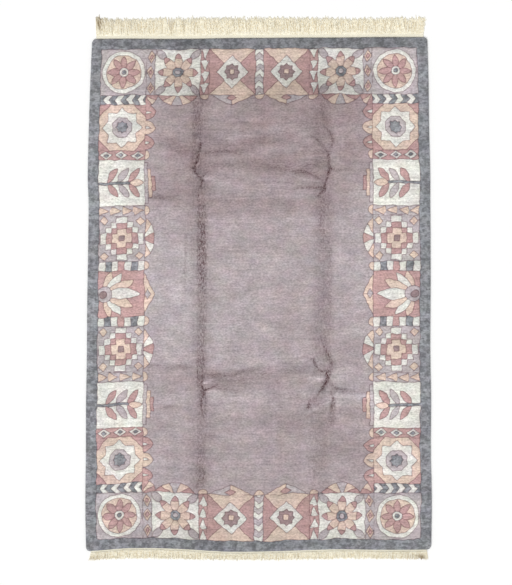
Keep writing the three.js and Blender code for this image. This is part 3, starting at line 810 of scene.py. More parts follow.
def in_border_or_fold(u, v):
    """In the border, or along one of the folds and creases that are narrow."""
    x, y = place_on_rug(u, v)
    near = in_border(u, v)
    for _, half_width, *route in FOLDS:
        if half_width < NARROW_FOLD:
            near |= nearest_on_route(route, x, y)[0] < NARROW_SHARE * half_width
    for reach, *route in CREASES:
        near |= nearest_on_route(route, x, y)[0] < reach + CREASE_CELLS_PAST
    return near


def sheet_faces(u, v, close_cells):
    """The faces of a grid, counter-clockwise from above: single cells at the rim and wherever
    close_cells says so of the middle of a double one, and double ones elsewhere. A double cell that
    meets single ones takes in the corner at the middle of that side, so that no gap is left. Also
    gives the corners that are used, and those of the rim."""
    columns, rows = u.shape
    corner = np.arange(columns * rows).reshape(columns, rows)
    single = np.stack([corner[:-1, :-1], corner[1:, :-1], corner[1:, 1:], corner[:-1, 1:]], axis=-1)
    rim_cells = len(RIM_INSETS) - 1
    even = corner[rim_cells:columns - rim_cells, rim_cells:rows - rim_cells]
    middle = even[1::2, 1::2]
    close = close_cells(u.ravel()[middle], v.ravel()[middle])
    kept = np.ones(single.shape[:2], bool)
    kept[rim_cells:-rim_cells, rim_cells:-rim_cells] = close.repeat(2, axis=0).repeat(2, axis=1)
    around = np.pad(close, 1, constant_values=True)
    loops = np.stack([
        even[:-2:2, :-2:2],
        np.where(around[1:-1, :-2], even[1::2, :-2:2], -1),
        even[2::2, :-2:2],
        np.where(around[2:, 1:-1], even[2::2, 1::2], -1),
        even[2::2, 2::2],
        np.where(around[1:-1, 2:], even[1::2, 2::2], -1),
        even[:-2:2, 2::2],
        np.where(around[:-2, 1:-1], even[:-2:2, 1::2], -1),
    ], axis=-1)[~close]
    double = [[spot for spot in loop if spot >= 0] for loop in loops.tolist()]
    faces = single[kept].tolist() + double
    used = np.unique(np.concatenate([single[kept].ravel(), loops[loops >= 0]]))
    rim = np.concatenate([corner[:-1, 0], corner[-1, :-1], corner[:0:-1, -1], corner[0, :0:-1]])
    return faces, used, rim


def add_sheet(name, inset, height_of, close_cells, closing_height, faces_up, material):
    """A closed sheet on the rug's outline. One face is the grid, at the heights that height_of
    gives for the ideal rectangle; a wall goes round the rim to the other, flat face."""
    u, v = np.meshgrid(
        sheet_lines(HALF_WIDTH - inset, CELLS_ACROSS),
        sheet_lines(HALF_LENGTH - inset, CELLS_ALONG),
        indexing="ij",
    )
    faces, used, rim = sheet_faces(u, v, close_cells)
    chart = drawn_chart(u, v)
    x, y = place_on_rug(u, v)
    source = np.concatenate([used, rim])
    closing = len(used) + np.arange(len(rim))
    number = np.zeros(u.size, int)
    number[used] = np.arange(len(used))
    heights = [height_of(u, v, x, y, chart).ravel()[used], np.full(len(rim), closing_height)]
    points = np.stack([x.ravel()[source], y.ravel()[source], np.concatenate(heights)], axis=-1)
    faces = [number[face].tolist() for face in faces]
    wall = np.stack([closing, np.roll(closing, -1), np.roll(number[rim], -1), number[rim]], axis=-1)
    faces += wall.tolist()
    faces.append(closing[::-1].tolist())
    if not faces_up:
        faces = [face[::-1] for face in faces]
    piece = add_piece(name, points, faces, material)
    _, up, across = fold_marks(x, y)
    marks = {yarn: np.clip(chart.inside[yarn], -YARN_REACH, YARN_REACH) for yarn in Chart.OTHER_YARNS}
    marks |= {"dye": chart.dye, "nap_painted_shade": painted_nap_shade(x, y), "crease_shade": crease_marks(x, y)}
    marks |= {"crushed_up_shade": up, "crushed_across_shade": across}
    for mark, values in marks.items():
        add_attribute(piece, mark, values.ravel()[source])
    add_sheet_map(piece, points, len(rim))
    return piece


def add_sheet_map(piece, points, closing_corners):
    """The map from straight above. The flat face, which comes last, is shrunk into a corner that
    the rest leaves free."""
    low = points.min(axis=0)[:2]
    size = points.max(axis=0)[:2] - low
    spots = VIEW_SHARE * (points[corner_vertices(piece)][:, :2] - low) / size
    spots[-closing_corners:] = FLAT_FACE_FROM + FLAT_FACE_SHARE * spots[-closing_corners:]
    add_map(piece, spots)


def pile_height(u, v, x, y, chart):
    """The top, less the folds and creases, the swelling between them and the uneven clipping, which
    all fade out to the rim, less the rounding of the rim and the carving beside every change of
    yarn."""
    inset = inset_from_edge(u, v)
    to_next_yarn = np.abs(np.max(list(chart.inside.values()), axis=0))
    depth, _, _ = fold_marks(x, y)
    swelling = unevenness(x, y, 0.24, seed=33) + 0.7 * unevenness(0.6 * x, y, 0.10, seed=34)
    clipping = 0.6 * unevenness(x, y, 0.09, seed=31) + 0.4 * unevenness(x, y, 0.035, seed=32)
    lowered = depth + CREASE_DEPTH * crease_marks(x, y)
    lowered = lowered + SWELLING * (1 + swelling) + CLIPPING_DEPTH * (1 + clipping)
    lowered = lowered * np.minimum(inset / RIM_INSETS[-1], 1) + np.interp(inset, RIM_INSETS, RIM_DROPS)
    return RUG_TOP - lowered - CARVING_DEPTH * faded(to_next_yarn, CARVING_HALF_WIDTH)


def foundation_height(u, v, x, y, chart):
    """Flat on the floor."""
    return np.zeros(u.shape)


def skin(rings, outwards):
    """Faces of tubes from an array of tubes, rings, places round the ring: four-sided between the
    rings, and one over each end. Gives the faces and, for every corner, its place round and along."""
    tubes, steps, sides = rings.shape[:3]
    corner = np.arange(tubes * steps * sides).reshape(tubes, steps, sides)
    after = np.roll(corner, -1, axis=2)
    walls = np.stack([corner[:, :-1], after[:, :-1], after[:, 1:], corner[:, 1:]], axis=-1)
    caps = np.stack([corner[:, 0, ::-1], corner[:, -1]], axis=1)
    round_from = np.arange(sides) / sides
    round_to = round_from + 1 / sides
    around = np.stack([round_from, round_to, round_to, round_from], axis=-1)
    place = np.linspace(0, 1, steps)
    along = np.stack([place[:-1], place[:-1], place[1:], place[1:]], axis=-1)
    spots = np.empty(walls.shape + (2,))
    spots[..., 0] = around[None, None]
    spots[..., 1] = along[None, :, None]
    cap_spots = np.zeros(caps.shape + (2,))
    cap_spots[:, 1, :, 1] = 1
    if outwards > 0:
        walls = walls[..., ::-1]
        spots = spots[..., ::-1, :]
        caps = caps[..., ::-1]
    faces = walls.reshape(-1, 4).tolist() + caps.reshape(-1, sides).tolist()
    return faces, spots, cap_spots


# Fringes

# For each: the node that it stands for, which way it hangs, its reach across the rug, how wide its
# web is, how many warp ends it has and how many rings each of them, how far they wave and lean, how
# uneven their length is, how far the first and the last of them splay, where they are soiled, and
# where the tips lie. Columns of soiled: middle x, spread, how much. Columns of tips: x, y.
FRINGES = {
    "top": {
        "node": "fringe_top",
        "outwards": 1,
        "reach": (-0.951, 0.968),
        "web": 0.024,
        "ends": 800,
        "rings": 20,
        "wave": 0.0040,
        "lean": 0.0170,
        "uneven": 0.0055,
        "splay": (-0.012, 0.016),
        "soiled": [(-0.930, 0.024, 0.50), (-0.924, 0.006, 0.40), (-0.80, 0.09, 0.12)],
        "tips": [
            (-0.951, 1.592), (-0.900, 1.588), (-0.860, 1.578), (-0.600, 1.582), (-0.250, 1.588),
            (0.250, 1.588), (0.560, 1.582), (0.968, 1.590),
        ],
    },
    "bottom": {
        "node": "fringe_bottom",
        "outwards": -1,
        "reach": (-0.983, 0.988),
        "web": 0.012,
        "ends": 820,
        "rings": 12,
        "wave": 0.0020,
        "lean": 0.0050,
        "uneven": 0.0030,
        "splay": (-0.014, 0.008),
        "soiled": [(-0.960, 0.070, 0.22), (0.955, 0.014, 0.6), (0.930, 0.08, 0.2)],
        "tips": [
            (-0.983, -1.594), (-0.900, -1.588), (-0.700, -1.584), (-0.500, -1.586), (-0.250, -1.592),
            (0.000, -1.593), (0.300, -1.589), (0.600, -1.584), (0.988, -1.588),
        ],
    },
}

# How far from a corner the ends splay, how far inside the web they start, how far off its even
# place each one is, as a share of the pitch, and how likely it is to start a clump. How far a whole
# clump leans, and how far each end of it leans by itself, as shares of the fringe's lean.
SPLAY_DISTANCE = 0.13
START_INSIDE = 0.004
OFF_PLACE = 0.15
NEW_CLUMP = 0.25
CLUMP_LEAN = 0.8
OWN_LEAN = 0.6

# A strand's tube: its sides, its radius in the low layer and in the high one, how high the high one
# arches, how far the lobes of the two plies stand out, and the length of a whole turn of them.
STRAND_SIDES = 6
LOW_RADIUS = 0.0025
HIGH_RADIUS = 0.0021
HIGH_LIFT = 0.0019
PLY_LOBES = 0.16
PLY_LENGTH = 0.028

# The columns of the strands' map, and the margin at either side of one, as a share of it.
MAP_COLUMNS = 16
MAP_MARGIN = 0.05

# The web's section, from its inner edge over the top to the outer one and back below. Columns:
# shares of its width and of its height.
WEB_SECTION = [
    (0, 0.15), (0, 0.85), (0.03, 1), (0.25, 1), (0.5, 1), (0.75, 1),
    (0.94, 1), (1, 0.8), (1, 0.2), (0.94, 0), (0.5, 0), (0.03, 0),
]

# How many places there are along the web and along the end of the pile, how wavy the web's outer
# edge is, and the gap that it leaves before the foundation.
WEB_STEPS = 400
RIM_STEPS = 401
WEB_WAVINESS = 0.0012
WEB_GAP = 0.0003


def rim_line(outwards):
    """The end of the pile as it lies, as places across the rug and where it is there."""
    across = np.linspace(-HALF_WIDTH + CORNER_RADIUS, HALF_WIDTH - CORNER_RADIUS, RIM_STEPS)
    return place_on_rug(across, np.full(across.shape, outwards * HALF_LENGTH))


def strand_places(fringe, chance, high, t):
    """Where the warp ends start across the rug, where they are across it all along, and the share of
    a turn that the plies of each start at. All splay near the corners and sway with their neighbours
    and wave a little. The high ones wave more, lean one way or the other in clumps and draw together.
    Each of these is a size times a power of how far along the end a place is."""
    ends = fringe["ends"]
    first, last = fringe["reach"]
    pitch = (last - first) / ends
    root_x = first + pitch * (np.arange(ends) + 0.5) + chance.normal(0, OFF_PLACE * pitch, ends)
    clump = np.cumsum(chance.random(ends) < NEW_CLUMP)
    clump_x = np.bincount(clump, root_x) / np.maximum(np.bincount(clump), 1)
    lean = chance.normal(0, CLUMP_LEAN, clump[-1] + 1)[clump] + chance.normal(0, OWN_LEAN, ends)
    from_first = (root_x - first) / SPLAY_DISTANCE
    from_last = (last - root_x) / SPLAY_DISTANCE
    lean = lean * np.minimum(4 * np.minimum(from_first, from_last), 1)
    splay_first, splay_last = fringe["splay"]
    splay = np.maximum(1 - from_first, 0) * splay_first + np.maximum(1 - from_last, 0) * splay_last
    sway = unevenness(root_x[:, None], 0.5 * t * fringe["web"], 0.09, seed=61) * t**1.4
    start, turn, wave_count = chance.uniform(0, 1, (3, ends, 1))
    wave = np.sin(2 * np.pi * (start + (1.5 + 3 * wave_count) * t)) - np.sin(2 * np.pi * start)
    wave_size = fringe["wave"] * chance.uniform(0.3, 1.2, (ends, 1)) * (0.2 + 0.8 * high)
    together = 0.5 * high * (clump_x[clump] - root_x)[:, None] * t
    x = root_x[:, None] + splay[:, None] * t**1.6 + fringe["wave"] * sway + wave_size * wave * t**0.6
    x = x + together + high * (fringe["lean"] * lean)[:, None] * t**1.3
    return root_x, x, turn


def strand_rings(fringe, chance, root_x, x, turn, high, t):
    """The strands' tubes, by strand, ring and place round the ring. They run straight out from the
    web to the tip, and taper. The low ones lie on the floor, and the high ones arch over them, as the
    root of a half sine wave. The section is a circle with two lobes, and turns along the strand."""
    ends = fringe["ends"]
    outwards = fringe["outwards"]
    start_y = np.interp(root_x, *rim_line(outwards)) + outwards * (fringe["web"] - START_INSIDE)
    tip_y = np.interp(root_x, *np.array(fringe["tips"]).T) + chance.normal(0, fringe["uneven"], ends)
    y = start_y[:, None] + (tip_y - start_y)[:, None] * t
    radius = np.where(high > 0, HIGH_RADIUS, LOW_RADIUS) * chance.uniform(0.88, 1.12, (ends, 1))
    radius = radius * (0.8 + 0.2 * np.minimum(t * 8, 1)) * (1 - 0.3 * t**3)
    radius = radius * np.where(t > 0.995, 0.35, 1)
    lift = HIGH_LIFT * high * chance.uniform(0.7, 1.3, (ends, 1))
    z = 1.15 * radius + lift * np.sin(np.pi * np.clip(0.1 + 0.86 * t, 0, 1)) ** 0.5
    around = 2 * np.pi * np.arange(STRAND_SIDES) / STRAND_SIDES
    turned_by = 2 * np.pi * (turn + np.abs(tip_y - start_y)[:, None] * t / PLY_LENGTH)
    lobes = 1 + PLY_LOBES * np.cos(2 * (around[None, None] - turned_by[..., None]))
    rings = np.empty((ends, fringe["rings"], STRAND_SIDES, 3))
    rings[..., 0] = x[..., None] + radius[..., None] * lobes * np.cos(around)
    rings[..., 1] = y[..., None]
    rings[..., 2] = z[..., None] + radius[..., None] * lobes * np.sin(around)
    return rings


def soil_on_strands(fringe, root_x, t):
    """How soiled the strands are: most at the middle of each soiled place and less to both sides as
    a normal curve, and from nothing near the web to all of it halfway along."""
    soil = 0
    for middle, spread, amount in fringe["soiled"]:
        soil = soil + amount * np.exp(-(((root_x - middle) / spread) ** 2))
    return np.minimum(soil, 1)[:, None] * np.clip(t * 2 - 0.3, 0, 1)


def add_strands(name, fringe, material):
    """The warp ends: tubes of two plies. Every other one lies low, so that together they hide the
    floor, and the ones between lie over them. They take the columns of the map in turn."""
    chance = np.random.default_rng(41 + fringe["outwards"])
    ends = fringe["ends"]
    high = (np.arange(ends) % 2)[:, None]
    t = np.linspace(0, 1, fringe["rings"])[None, :]
    root_x, x, turn = strand_places(fringe, chance, high, t)
    rings = strand_rings(fringe, chance, root_x, x, turn, high, t)
    faces, spots, cap_spots = skin(rings, fringe["outwards"])
    piece = add_piece(name, rings.reshape(-1, 3), faces, material)
    column = (np.arange(ends) % MAP_COLUMNS)[:, None, None]
    within = MAP_MARGIN + (1 - 2 * MAP_MARGIN) * spots[..., 0]
    spots[..., 0] = (column[..., None] + within) / MAP_COLUMNS
    cap_spots[..., 0] = (column + 0.5) / MAP_COLUMNS
    add_map(piece, np.concatenate([spots.reshape(-1, 2), cap_spots.reshape(-1, 2)]))
    marks = {
        "dye": chance.uniform(-1, 1, (ends, 1)),
        "soil": soil_on_strands(fringe, root_x, t),
        # Painted shade on the low strands, which lie under the others.
        "under_shade": (1 - high) * np.minimum(4 * t, 1) * np.clip(4.6 - 4.6 * t, 0, 1),
    }
    for mark, values in marks.items():
        add_attribute(piece, mark, np.broadcast_to(values[..., None], rings.shape[:3]).ravel())
    return piece


def add_web(name, fringe, material):
    """The strip of bare weaving between the pile and the loose ends: one section, carried along the
    end of the pile from just under its rim, with a slightly wavy outer edge and height."""
    outwards = fringe["outwards"]
    across_share, up_share = np.array(WEB_SECTION).T
    tucked = FOUNDATION_INSET - WEB_GAP
    x = np.linspace(*fringe["reach"], WEB_STEPS)
    inner_y = np.interp(x, *rim_line(outwards)) - outwards * tucked
    width = fringe["web"] + WEB_WAVINESS * unevenness(x, 0 * x, 0.05, seed=51 + outwards) + tucked
    height = WEB_TOP * (0.93 + 0.07 * unevenness(x, 0 * x, 0.03, seed=53 + outwards))
    rings = np.empty((1, WEB_STEPS, len(WEB_SECTION), 3))
    rings[0, ..., 0] = x[:, None]
    rings[0, ..., 1] = inner_y[:, None] + outwards * width[:, None] * across_share
    rings[0, ..., 2] = height[:, None] * up_share
    faces, spots, cap_spots = skin(rings, outwards)
    piece = add_piece(name, rings.reshape(-1, 3), faces, material)
    add_map(piece, np.concatenate([spots.reshape(-1, 2)[:, ::-1], cap_spots.reshape(-1, 2)]))
    return piece


# Materials

def dyed(red, green, blue):
    """A colour as it looks on the rug, from 0 to 255, as the linear one that the shader takes."""
    looks = np.array([red, green, blue]) / 255
    linear = np.where(looks > 0.04045, ((looks + 0.055) / 1.055) ** 2.4, looks / 12.92)
    return (*linear.tolist(), 1.0)


YARN_COLOURS = {
    "slate": dyed(140, 141, 146),
    "mauve": dyed(180, 168, 171),
    "ivory": dyed(228, 226, 219),
    "peach": dyed(224, 201, 186),
    "rose": dyed(192, 157, 155),
    "grey": dyed(192, 182, 184),
    "plum": dyed(160, 137, 138),
}


class Wiring:
    """Places and joins the nodes of one tree. What is given for a socket is a value or an output."""

    def __init__(self, tree):
        self.tree = tree

    def feed(self, socket, value):
        if isinstance(value, bpy.types.NodeSocket):
            self.tree.links.new(value, socket)
        else:
            socket.default_value = value

    def place(self, kind, sockets=(), **settings):
        node = self.tree.nodes.new("ShaderNode" + kind)
        for name, value in settings.items():
            setattr(node, name, value)
        for socket, value in dict(sockets).items():
            self.feed(node.inputs[socket], value)
        return node

    def math(self, operation, *values):
        return self.place("Math", dict(enumerate(values)), operation=operation).outputs[0]

    def times(self, first, second):
        return self.math("MULTIPLY", first, second)

    def times_plus(self, first, second, more):
        return self.math("MULTIPLY_ADD", first, second, more)

    def highest(self, first, second):
        return self.math("MAXIMUM", first, second)

    def lowest(self, first, second):
        return self.math("MINIMUM", first, second)

    def varied(self, value, by, amount):
        """A number times one plus an amount of another."""
        return self.times(value, self.times_plus(by, amount, 1.0))

    def step(self, value, low, high, at_low=0.0, at_high=1.0):
        """A smooth step from one value to another as the first goes from low to high."""
        sockets = {"Value": value, "From Min": low, "From Max": high, "To Min": at_low, "To Max": at_high}
        return self.place("MapRange", sockets, interpolation_type="SMOOTHSTEP").outputs["Result"]

    def mixed(self, share, first, second, blend="MIX"):
        """Two colours, by a share of the second. The node takes them at its sockets 6 and 7."""
        sockets = {0: share, 6: first, 7: second}
        return self.place("Mix", sockets, data_type="RGBA", blend_type=blend).outputs[2]

    def tinted(self, colour, tint):
        """A colour times another."""
        return self.mixed(1.0, colour, tint, "MULTIPLY")

    def shaded(self, colour, factor):
        """A colour times a number."""
        grey = self.place("CombineColor", {"Red": factor, "Green": factor, "Blue": factor}).outputs[0]
        return self.tinted(colour, grey)

    def vector(self, operation, *values):
        return self.place("VectorMath", dict(enumerate(values)), operation=operation).outputs[0]

    def darkened(self, colour, amount, weights):
        """A colour less an amount, each of red, green and blue by a weight of its own."""
        kept = self.vector("MULTIPLY_ADD", self.times(amount, -1.0), weights, (1.0, 1.0, 1.0))
        return self.vector("MULTIPLY", colour, kept)

    def attribute(self, name):
        return self.place("Attribute", attribute_name=name).outputs["Fac"]

    def position(self):
        return self.place("TexCoord").outputs["Object"]

    def noise(self, position, per_metre, detail=2.0, roughness=0.5, distortion=0.0):
        """Noise from 0 to 1, with so many lumps to the metre along x, y and z."""
        sockets = {
            "Vector": self.vector("MULTIPLY", position, per_metre),
            "Scale": 1.0,
            "Detail": detail,
            "Roughness": roughness,
            "Distortion": distortion,
        }
        return self.place("TexNoise", sockets).outputs["Fac"]

    def coloured_noise(self, position, per_metre, amount):
        """Noise of its own in red, green and blue, as a colour about white."""
        sockets = {"Vector": self.vector("MULTIPLY", position, per_metre), "Scale": 1.0, "Detail": 1.0}
        noise = self.place("TexNoise", sockets).outputs["Color"]
        middle = 1.0 - amount / 2
        return self.vector("MULTIPLY_ADD", noise, (amount, amount, amount), (middle, middle, middle))

    def around_one(self, value, amount):
        """A noise value as a factor about one."""
        return self.times_plus(self.math("SUBTRACT", value, 0.5), amount, 1.0)


def new_effect(name, inputs, outputs):
    """A shader node group with named inputs, all numbers, and named outputs, each of a kind. Gives
    its wiring, what its inputs bring and where its outputs are fed."""
    tree = bpy.data.node_groups.new(name, "ShaderNodeTree")
    for label, value in inputs.items():
        socket = tree.interface.new_socket(name=label, in_out="INPUT", socket_type="NodeSocketFloat")
        socket.default_value = value
    for label, kind in outputs.items():
        tree.interface.new_socket(name=label, in_out="OUTPUT", socket_type="NodeSocket" + kind)
    given = tree.nodes.new("NodeGroupInput").outputs
    result = tree.nodes.new("NodeGroupOutput").inputs
    return Wiring(tree), given, result


def use_effect(wiring, effect, **sockets):
    node = wiring.tree.nodes.new("ShaderNodeGroup")
    node.node_tree = effect
    for label, value in sockets.items():
        wiring.feed(node.inputs[label.replace("_", " ").capitalize()], value)
    return node.outputs


def knotted_yarns():
    """The chart's yarns as colour, and a mask that is one on the carved line between two yarns, where
    the pile is given painted shade. The line is where the yarn that a point lies deepest in is hardly
    there; knots make it a little ragged."""
    wiring, given, result = new_effect(
        "Knotted yarns",
        {"Line width": 0.004, "Raggedness": 0.0012},
        {"Colour": "Color", "Line": "Float", "Slate": "Float", "Mauve": "Float"},
    )
    position = wiring.position()
    ragged = wiring.math("SUBTRACT", wiring.noise(position, (260, 260, 260), 1), 0.5)
    ragged = wiring.times(ragged, given["Raggedness"])
    colour = YARN_COLOURS["slate"]
    deepest = None
    for yarn in Chart.OTHER_YARNS:
        inside = wiring.math("ADD", wiring.attribute(yarn), ragged)
        mask = wiring.step(inside, -0.0007, 0.0007)
        colour = wiring.mixed(mask, colour, YARN_COLOURS[yarn])
        deepest = inside if deepest is None else wiring.highest(deepest, inside)
        if yarn == "mauve":
            wiring.feed(result["Mauve"], mask)
    line = wiring.step(wiring.math("ABSOLUTE", deepest), 0.0008, given["Line width"], 1.0, 0.0)
    wiring.feed(result["Colour"], colour)
    wiring.feed(result["Line"], line)
    wiring.feed(result["Slate"], wiring.step(deepest, -0.001, 0.001, 1.0, 0.0))
    return wiring.tree


def uneven_dye():
    """How light hand-dyed, hand-spun yarn is from place to place, as a factor about one: clouds,
    blotches, long rows of one dye lot and short streaks of a few knots, which are its grain too. Its
    tint wanders between rosy, greenish and bluish, as a colour to multiply by."""
    wiring, given, result = new_effect(
        "Uneven dye",
        {"Clouds": 0.1, "Blotches": 0.1, "Rows": 0.1, "Streaks": 0.1, "Tinting": 0.5},
        {"Shade": "Float", "Grain": "Float", "Tint": "Color"},
    )
    position = wiring.position()
    shade = 1.0
    for label, per_metre in (
        ("Clouds", (5, 8, 8)),
        ("Blotches", (20, 32, 24)),
        ("Rows", (5, 80, 8)),
        ("Streaks", (72, 120, 90)),
    ):
        lumps = wiring.noise(position, per_metre, 2, 0.6)
        shade = wiring.times(shade, wiring.around_one(lumps, given[label]))
    tint = wiring.coloured_noise(position, (13, 16, 15), 0.15)
    wiring.feed(result["Shade"], shade)
    wiring.feed(result["Grain"], lumps)
    wiring.feed(result["Tint"], wiring.mixed(given["Tinting"], (1.0, 1.0, 1.0, 1.0), tint))
    return wiring.tree


def crushed_pile_shade():
    """Painted shade and light of the crushed pile along the folds: short strokes that run with the fold,
    the dark ones in a soft dark band, and the fine creases, all painted shade, as a mask that a light
    crease clears. The painted highlights on the light strokes between them, where a tuft stands up,
    and on the light creases are another."""
    wiring, given, result = new_effect(
        "Crushed pile shade",
        {"Band": 0.2, "Strokes": 0.5, "Creases": 0.5},
        {"Dark": "Float", "Light": "Float"},
    )
    position = wiring.position()
    dark = []
    light = []
    for name, per_metre in (("crushed_up_shade", (200, 66, 60)), ("crushed_across_shade", (60, 185, 60))):
        there = wiring.attribute(name)
        strength = wiring.math("POWER", there, 1.3)
        noise = wiring.noise(position, per_metre, 1, 0.6, 0.8)
        strokes = wiring.times(wiring.step(noise, 0.42, 0.62), given["Strokes"])
        dark.append(wiring.times_plus(strokes, strength, wiring.times(there, given["Band"])))
        light.append(wiring.times(wiring.step(noise, 0.44, 0.34), strength))
    darkest = wiring.highest(*dark)
    crease_shade = wiring.attribute("crease_shade")
    uneven = wiring.step(wiring.noise(position, (150, 110, 60), 2, 0.6, 0.8), 0.38, 0.62, 0.10, 1.45)
    crease_dark = wiring.times(wiring.highest(crease_shade, 0.0), given["Creases"])
    with_crease = wiring.times_plus(crease_dark, uneven, wiring.times(darkest, 0.9))
    darkest = wiring.lowest(wiring.highest(darkest, with_crease), 0.92)
    light_crease = wiring.lowest(crease_shade, 0.0)
    wiring.feed(result["Dark"], wiring.varied(darkest, light_crease, 0.8))
    wiring.feed(result["Light"], wiring.times_plus(light_crease, -3.0, wiring.highest(*light)))
    return wiring.tree


def flat_weave():
    """Rows of weft over the warp: a fine rib one way, broken into knots or stitches the other, as a
    height and a painted shade, darker in the hollows between the ribs."""
    wiring, given, result = new_effect(
        "Flat weave",
        {"Warp pitch": 0.004, "Weft pitch": 0.003},
        {"Height": "Float", "Shade": "Float"},
    )
    split = wiring.place("SeparateXYZ", {0: wiring.position()})
    ribs = []
    for axis, label in (("X", "Warp pitch"), ("Y", "Weft pitch")):
        turns = wiring.math("DIVIDE", split.outputs[axis], given[label])
        wave = wiring.math("ABSOLUTE", wiring.math("SINE", wiring.times(turns, np.pi)))
        ribs.append(wiring.math("POWER", wave, 0.6))
    height = wiring.times(*ribs)
    wiring.feed(result["Height"], height)
    wiring.feed(result["Shade"], wiring.step(height, 0.0, 0.7, 0.80, 1.02))
    return wiring.tree


KNOTTED_YARNS = knotted_yarns()
UNEVEN_DYE = uneven_dye()
CRUSHED_PILE_SHADE = crushed_pile_shade()
FLAT_WEAVE = flat_weave()

# What the painted shade in the carved line leaves of a colour, and how much the painted shade of the
# nap, on the border and on the field, and that of crushed pile take from red, green and blue.
LINE_SHADE = (0.60, 0.53, 0.55, 1.0)
EVEN_SHADE_WEIGHTS = (1.0, 1.0, 1.0, 1.0)
FIELD_SHADE_WEIGHTS = (0.80, 1.03, 1.05, 1.0)
CRUSHED_SHADE_WEIGHTS = (0.95, 1.06, 1.05)


def new_material(name, **surface):
    """A material whose constant values are set on the shader's own sockets."""
    material = bpy.data.materials.new(name)
    material.use_nodes = True
    shader = material.node_tree.nodes["Principled BSDF"]
    for label, value in surface.items():
        shader.inputs[label.replace("_", " ").title()].default_value = value
    return material, Wiring(material.node_tree), shader


def feed_surface(wiring, shader, colour, height, strength):
    """Gives the shader its colour, and a height in metres as bump."""
    bump = wiring.place("Bump", {"Height": height, "Strength": strength, "Distance": 1.0})
    wiring.feed(shader.inputs["Base Color"], colour)
    wiring.feed(shader.inputs["Normal"], bump.outputs["Normal"])


def wool_pile_material():
    """Clipped wool: the chart in yarns that took the dye unevenly, with painted shade in the carved
    lines, on crushed pile and in the fine creases, painted shade and light of the nap, painted highlights
    where the pile is lifted, and tufts a few millimetres across standing out of it."""
    surface = {"roughness": 0.95, "sheen_weight": 0.12, "sheen_roughness": 0.6}
    material, wiring, shader = new_material("wool pile", **surface)
    position = wiring.position()
    yarns = use_effect(wiring, KNOTTED_YARNS)
    dye = use_effect(wiring, UNEVEN_DYE, clouds=0.50, blotches=0.42, rows=0.50, streaks=1.25, tinting=0.8)
    # Painted shade and painted highlights of crushed pile and the fine creases.
    crushed_shade = use_effect(wiring, CRUSHED_PILE_SHADE, band=0.30, strokes=0.52, creases=0.55)
    tufts = wiring.noise(position, (330, 330, 330), 2, 0.6)
    mottle = wiring.step(wiring.noise(position, (36, 44, 36), 2, 0.6), 0.36, 0.64, -0.30, 0.30)
    shade = wiring.varied(dye["Shade"], mottle, yarns["Slate"])
    shade = wiring.varied(shade, wiring.attribute("dye"), 0.035)
    shade = wiring.times(shade, wiring.around_one(tufts, 0.3))
    # Painted highlights where tufts stand up on crushed pile and on the light creases.
    shade = wiring.varied(shade, crushed_shade["Light"], 0.14)
    colour = wiring.tinted(wiring.shaded(yarns["Colour"], shade), dye["Tint"])
    # Painted shade in the carved lines.
    colour = wiring.mixed(yarns["Line"], colour, wiring.tinted(colour, LINE_SHADE))
    # Painted shade of the nap, warmer on the field.
    weights = wiring.mixed(yarns["Mauve"], EVEN_SHADE_WEIGHTS, FIELD_SHADE_WEIGHTS)
    colour = wiring.darkened(colour, wiring.attribute("nap_painted_shade"), weights)
    # Painted shade of crushed pile and the fine creases.
    colour = wiring.darkened(colour, crushed_shade["Dark"], CRUSHED_SHADE_WEIGHTS)
    height = wiring.times_plus(tufts, 0.0016, wiring.times(dye["Grain"], 0.0024))
    height = wiring.times_plus(yarns["Line"], -0.0012, height)
    height = wiring.times_plus(crushed_shade["Dark"], -0.0016, height)
    feed_surface(wiring, shader, colour, height, 0.7)
    return material


def foundation_material():
    """The back of the rug: the same chart in flat rows of knots, with painted shade in the hollows
    between the rows and more ragged edges between the yarns."""
    material, wiring, shader = new_material("knotted back", roughness=0.9, sheen_weight=0.05)
    yarns = use_effect(wiring, KNOTTED_YARNS, line_width=0.002, raggedness=0.003)
    dye = use_effect(wiring, UNEVEN_DYE, clouds=0.2, blotches=0.2, rows=0.2, streaks=0.4)
    weave = use_effect(wiring, FLAT_WEAVE, warp_pitch=0.0042, weft_pitch=0.0036)
    colour = wiring.shaded(yarns["Colour"], wiring.times(dye["Shade"], weave["Shade"]))
    feed_surface(wiring, shader, colour, wiring.times(weave["Height"], 0.0007), 0.9)
    return material


# The cotton's colours, and how much the painted shade on strands that lie under others and a
# speckle take from red, green and blue.
WARP_COLOUR = dyed(255, 250, 231)
WEB_COLOUR = dyed(249, 243, 222)
SOIL_COLOUR = dyed(150, 128, 92)
UNDER_SHADE_WEIGHTS = (0.08, 0.125, 0.19)
SPECKLE_WEIGHTS = (0.07, 0.10, 0.17)


def warp_web_material():
    """Bare cotton weaving, with painted shade in the hollows of the weave."""
    material, wiring, shader = new_material("cotton web", roughness=0.9, sheen_weight=0.05)
    dye = use_effect(wiring, UNEVEN_DYE, clouds=0.10, blotches=0.10, rows=0.05, streaks=0.16)
    weave = use_effect(wiring, FLAT_WEAVE, warp_pitch=0.0037, weft_pitch=0.0028)
    colour = wiring.shaded(WEB_COLOUR, wiring.times(dye["Shade"], weave["Shade"]))
    feed_surface(wiring, shader, colour, wiring.times(weave["Height"], 0.0006), 0.9)
    return material


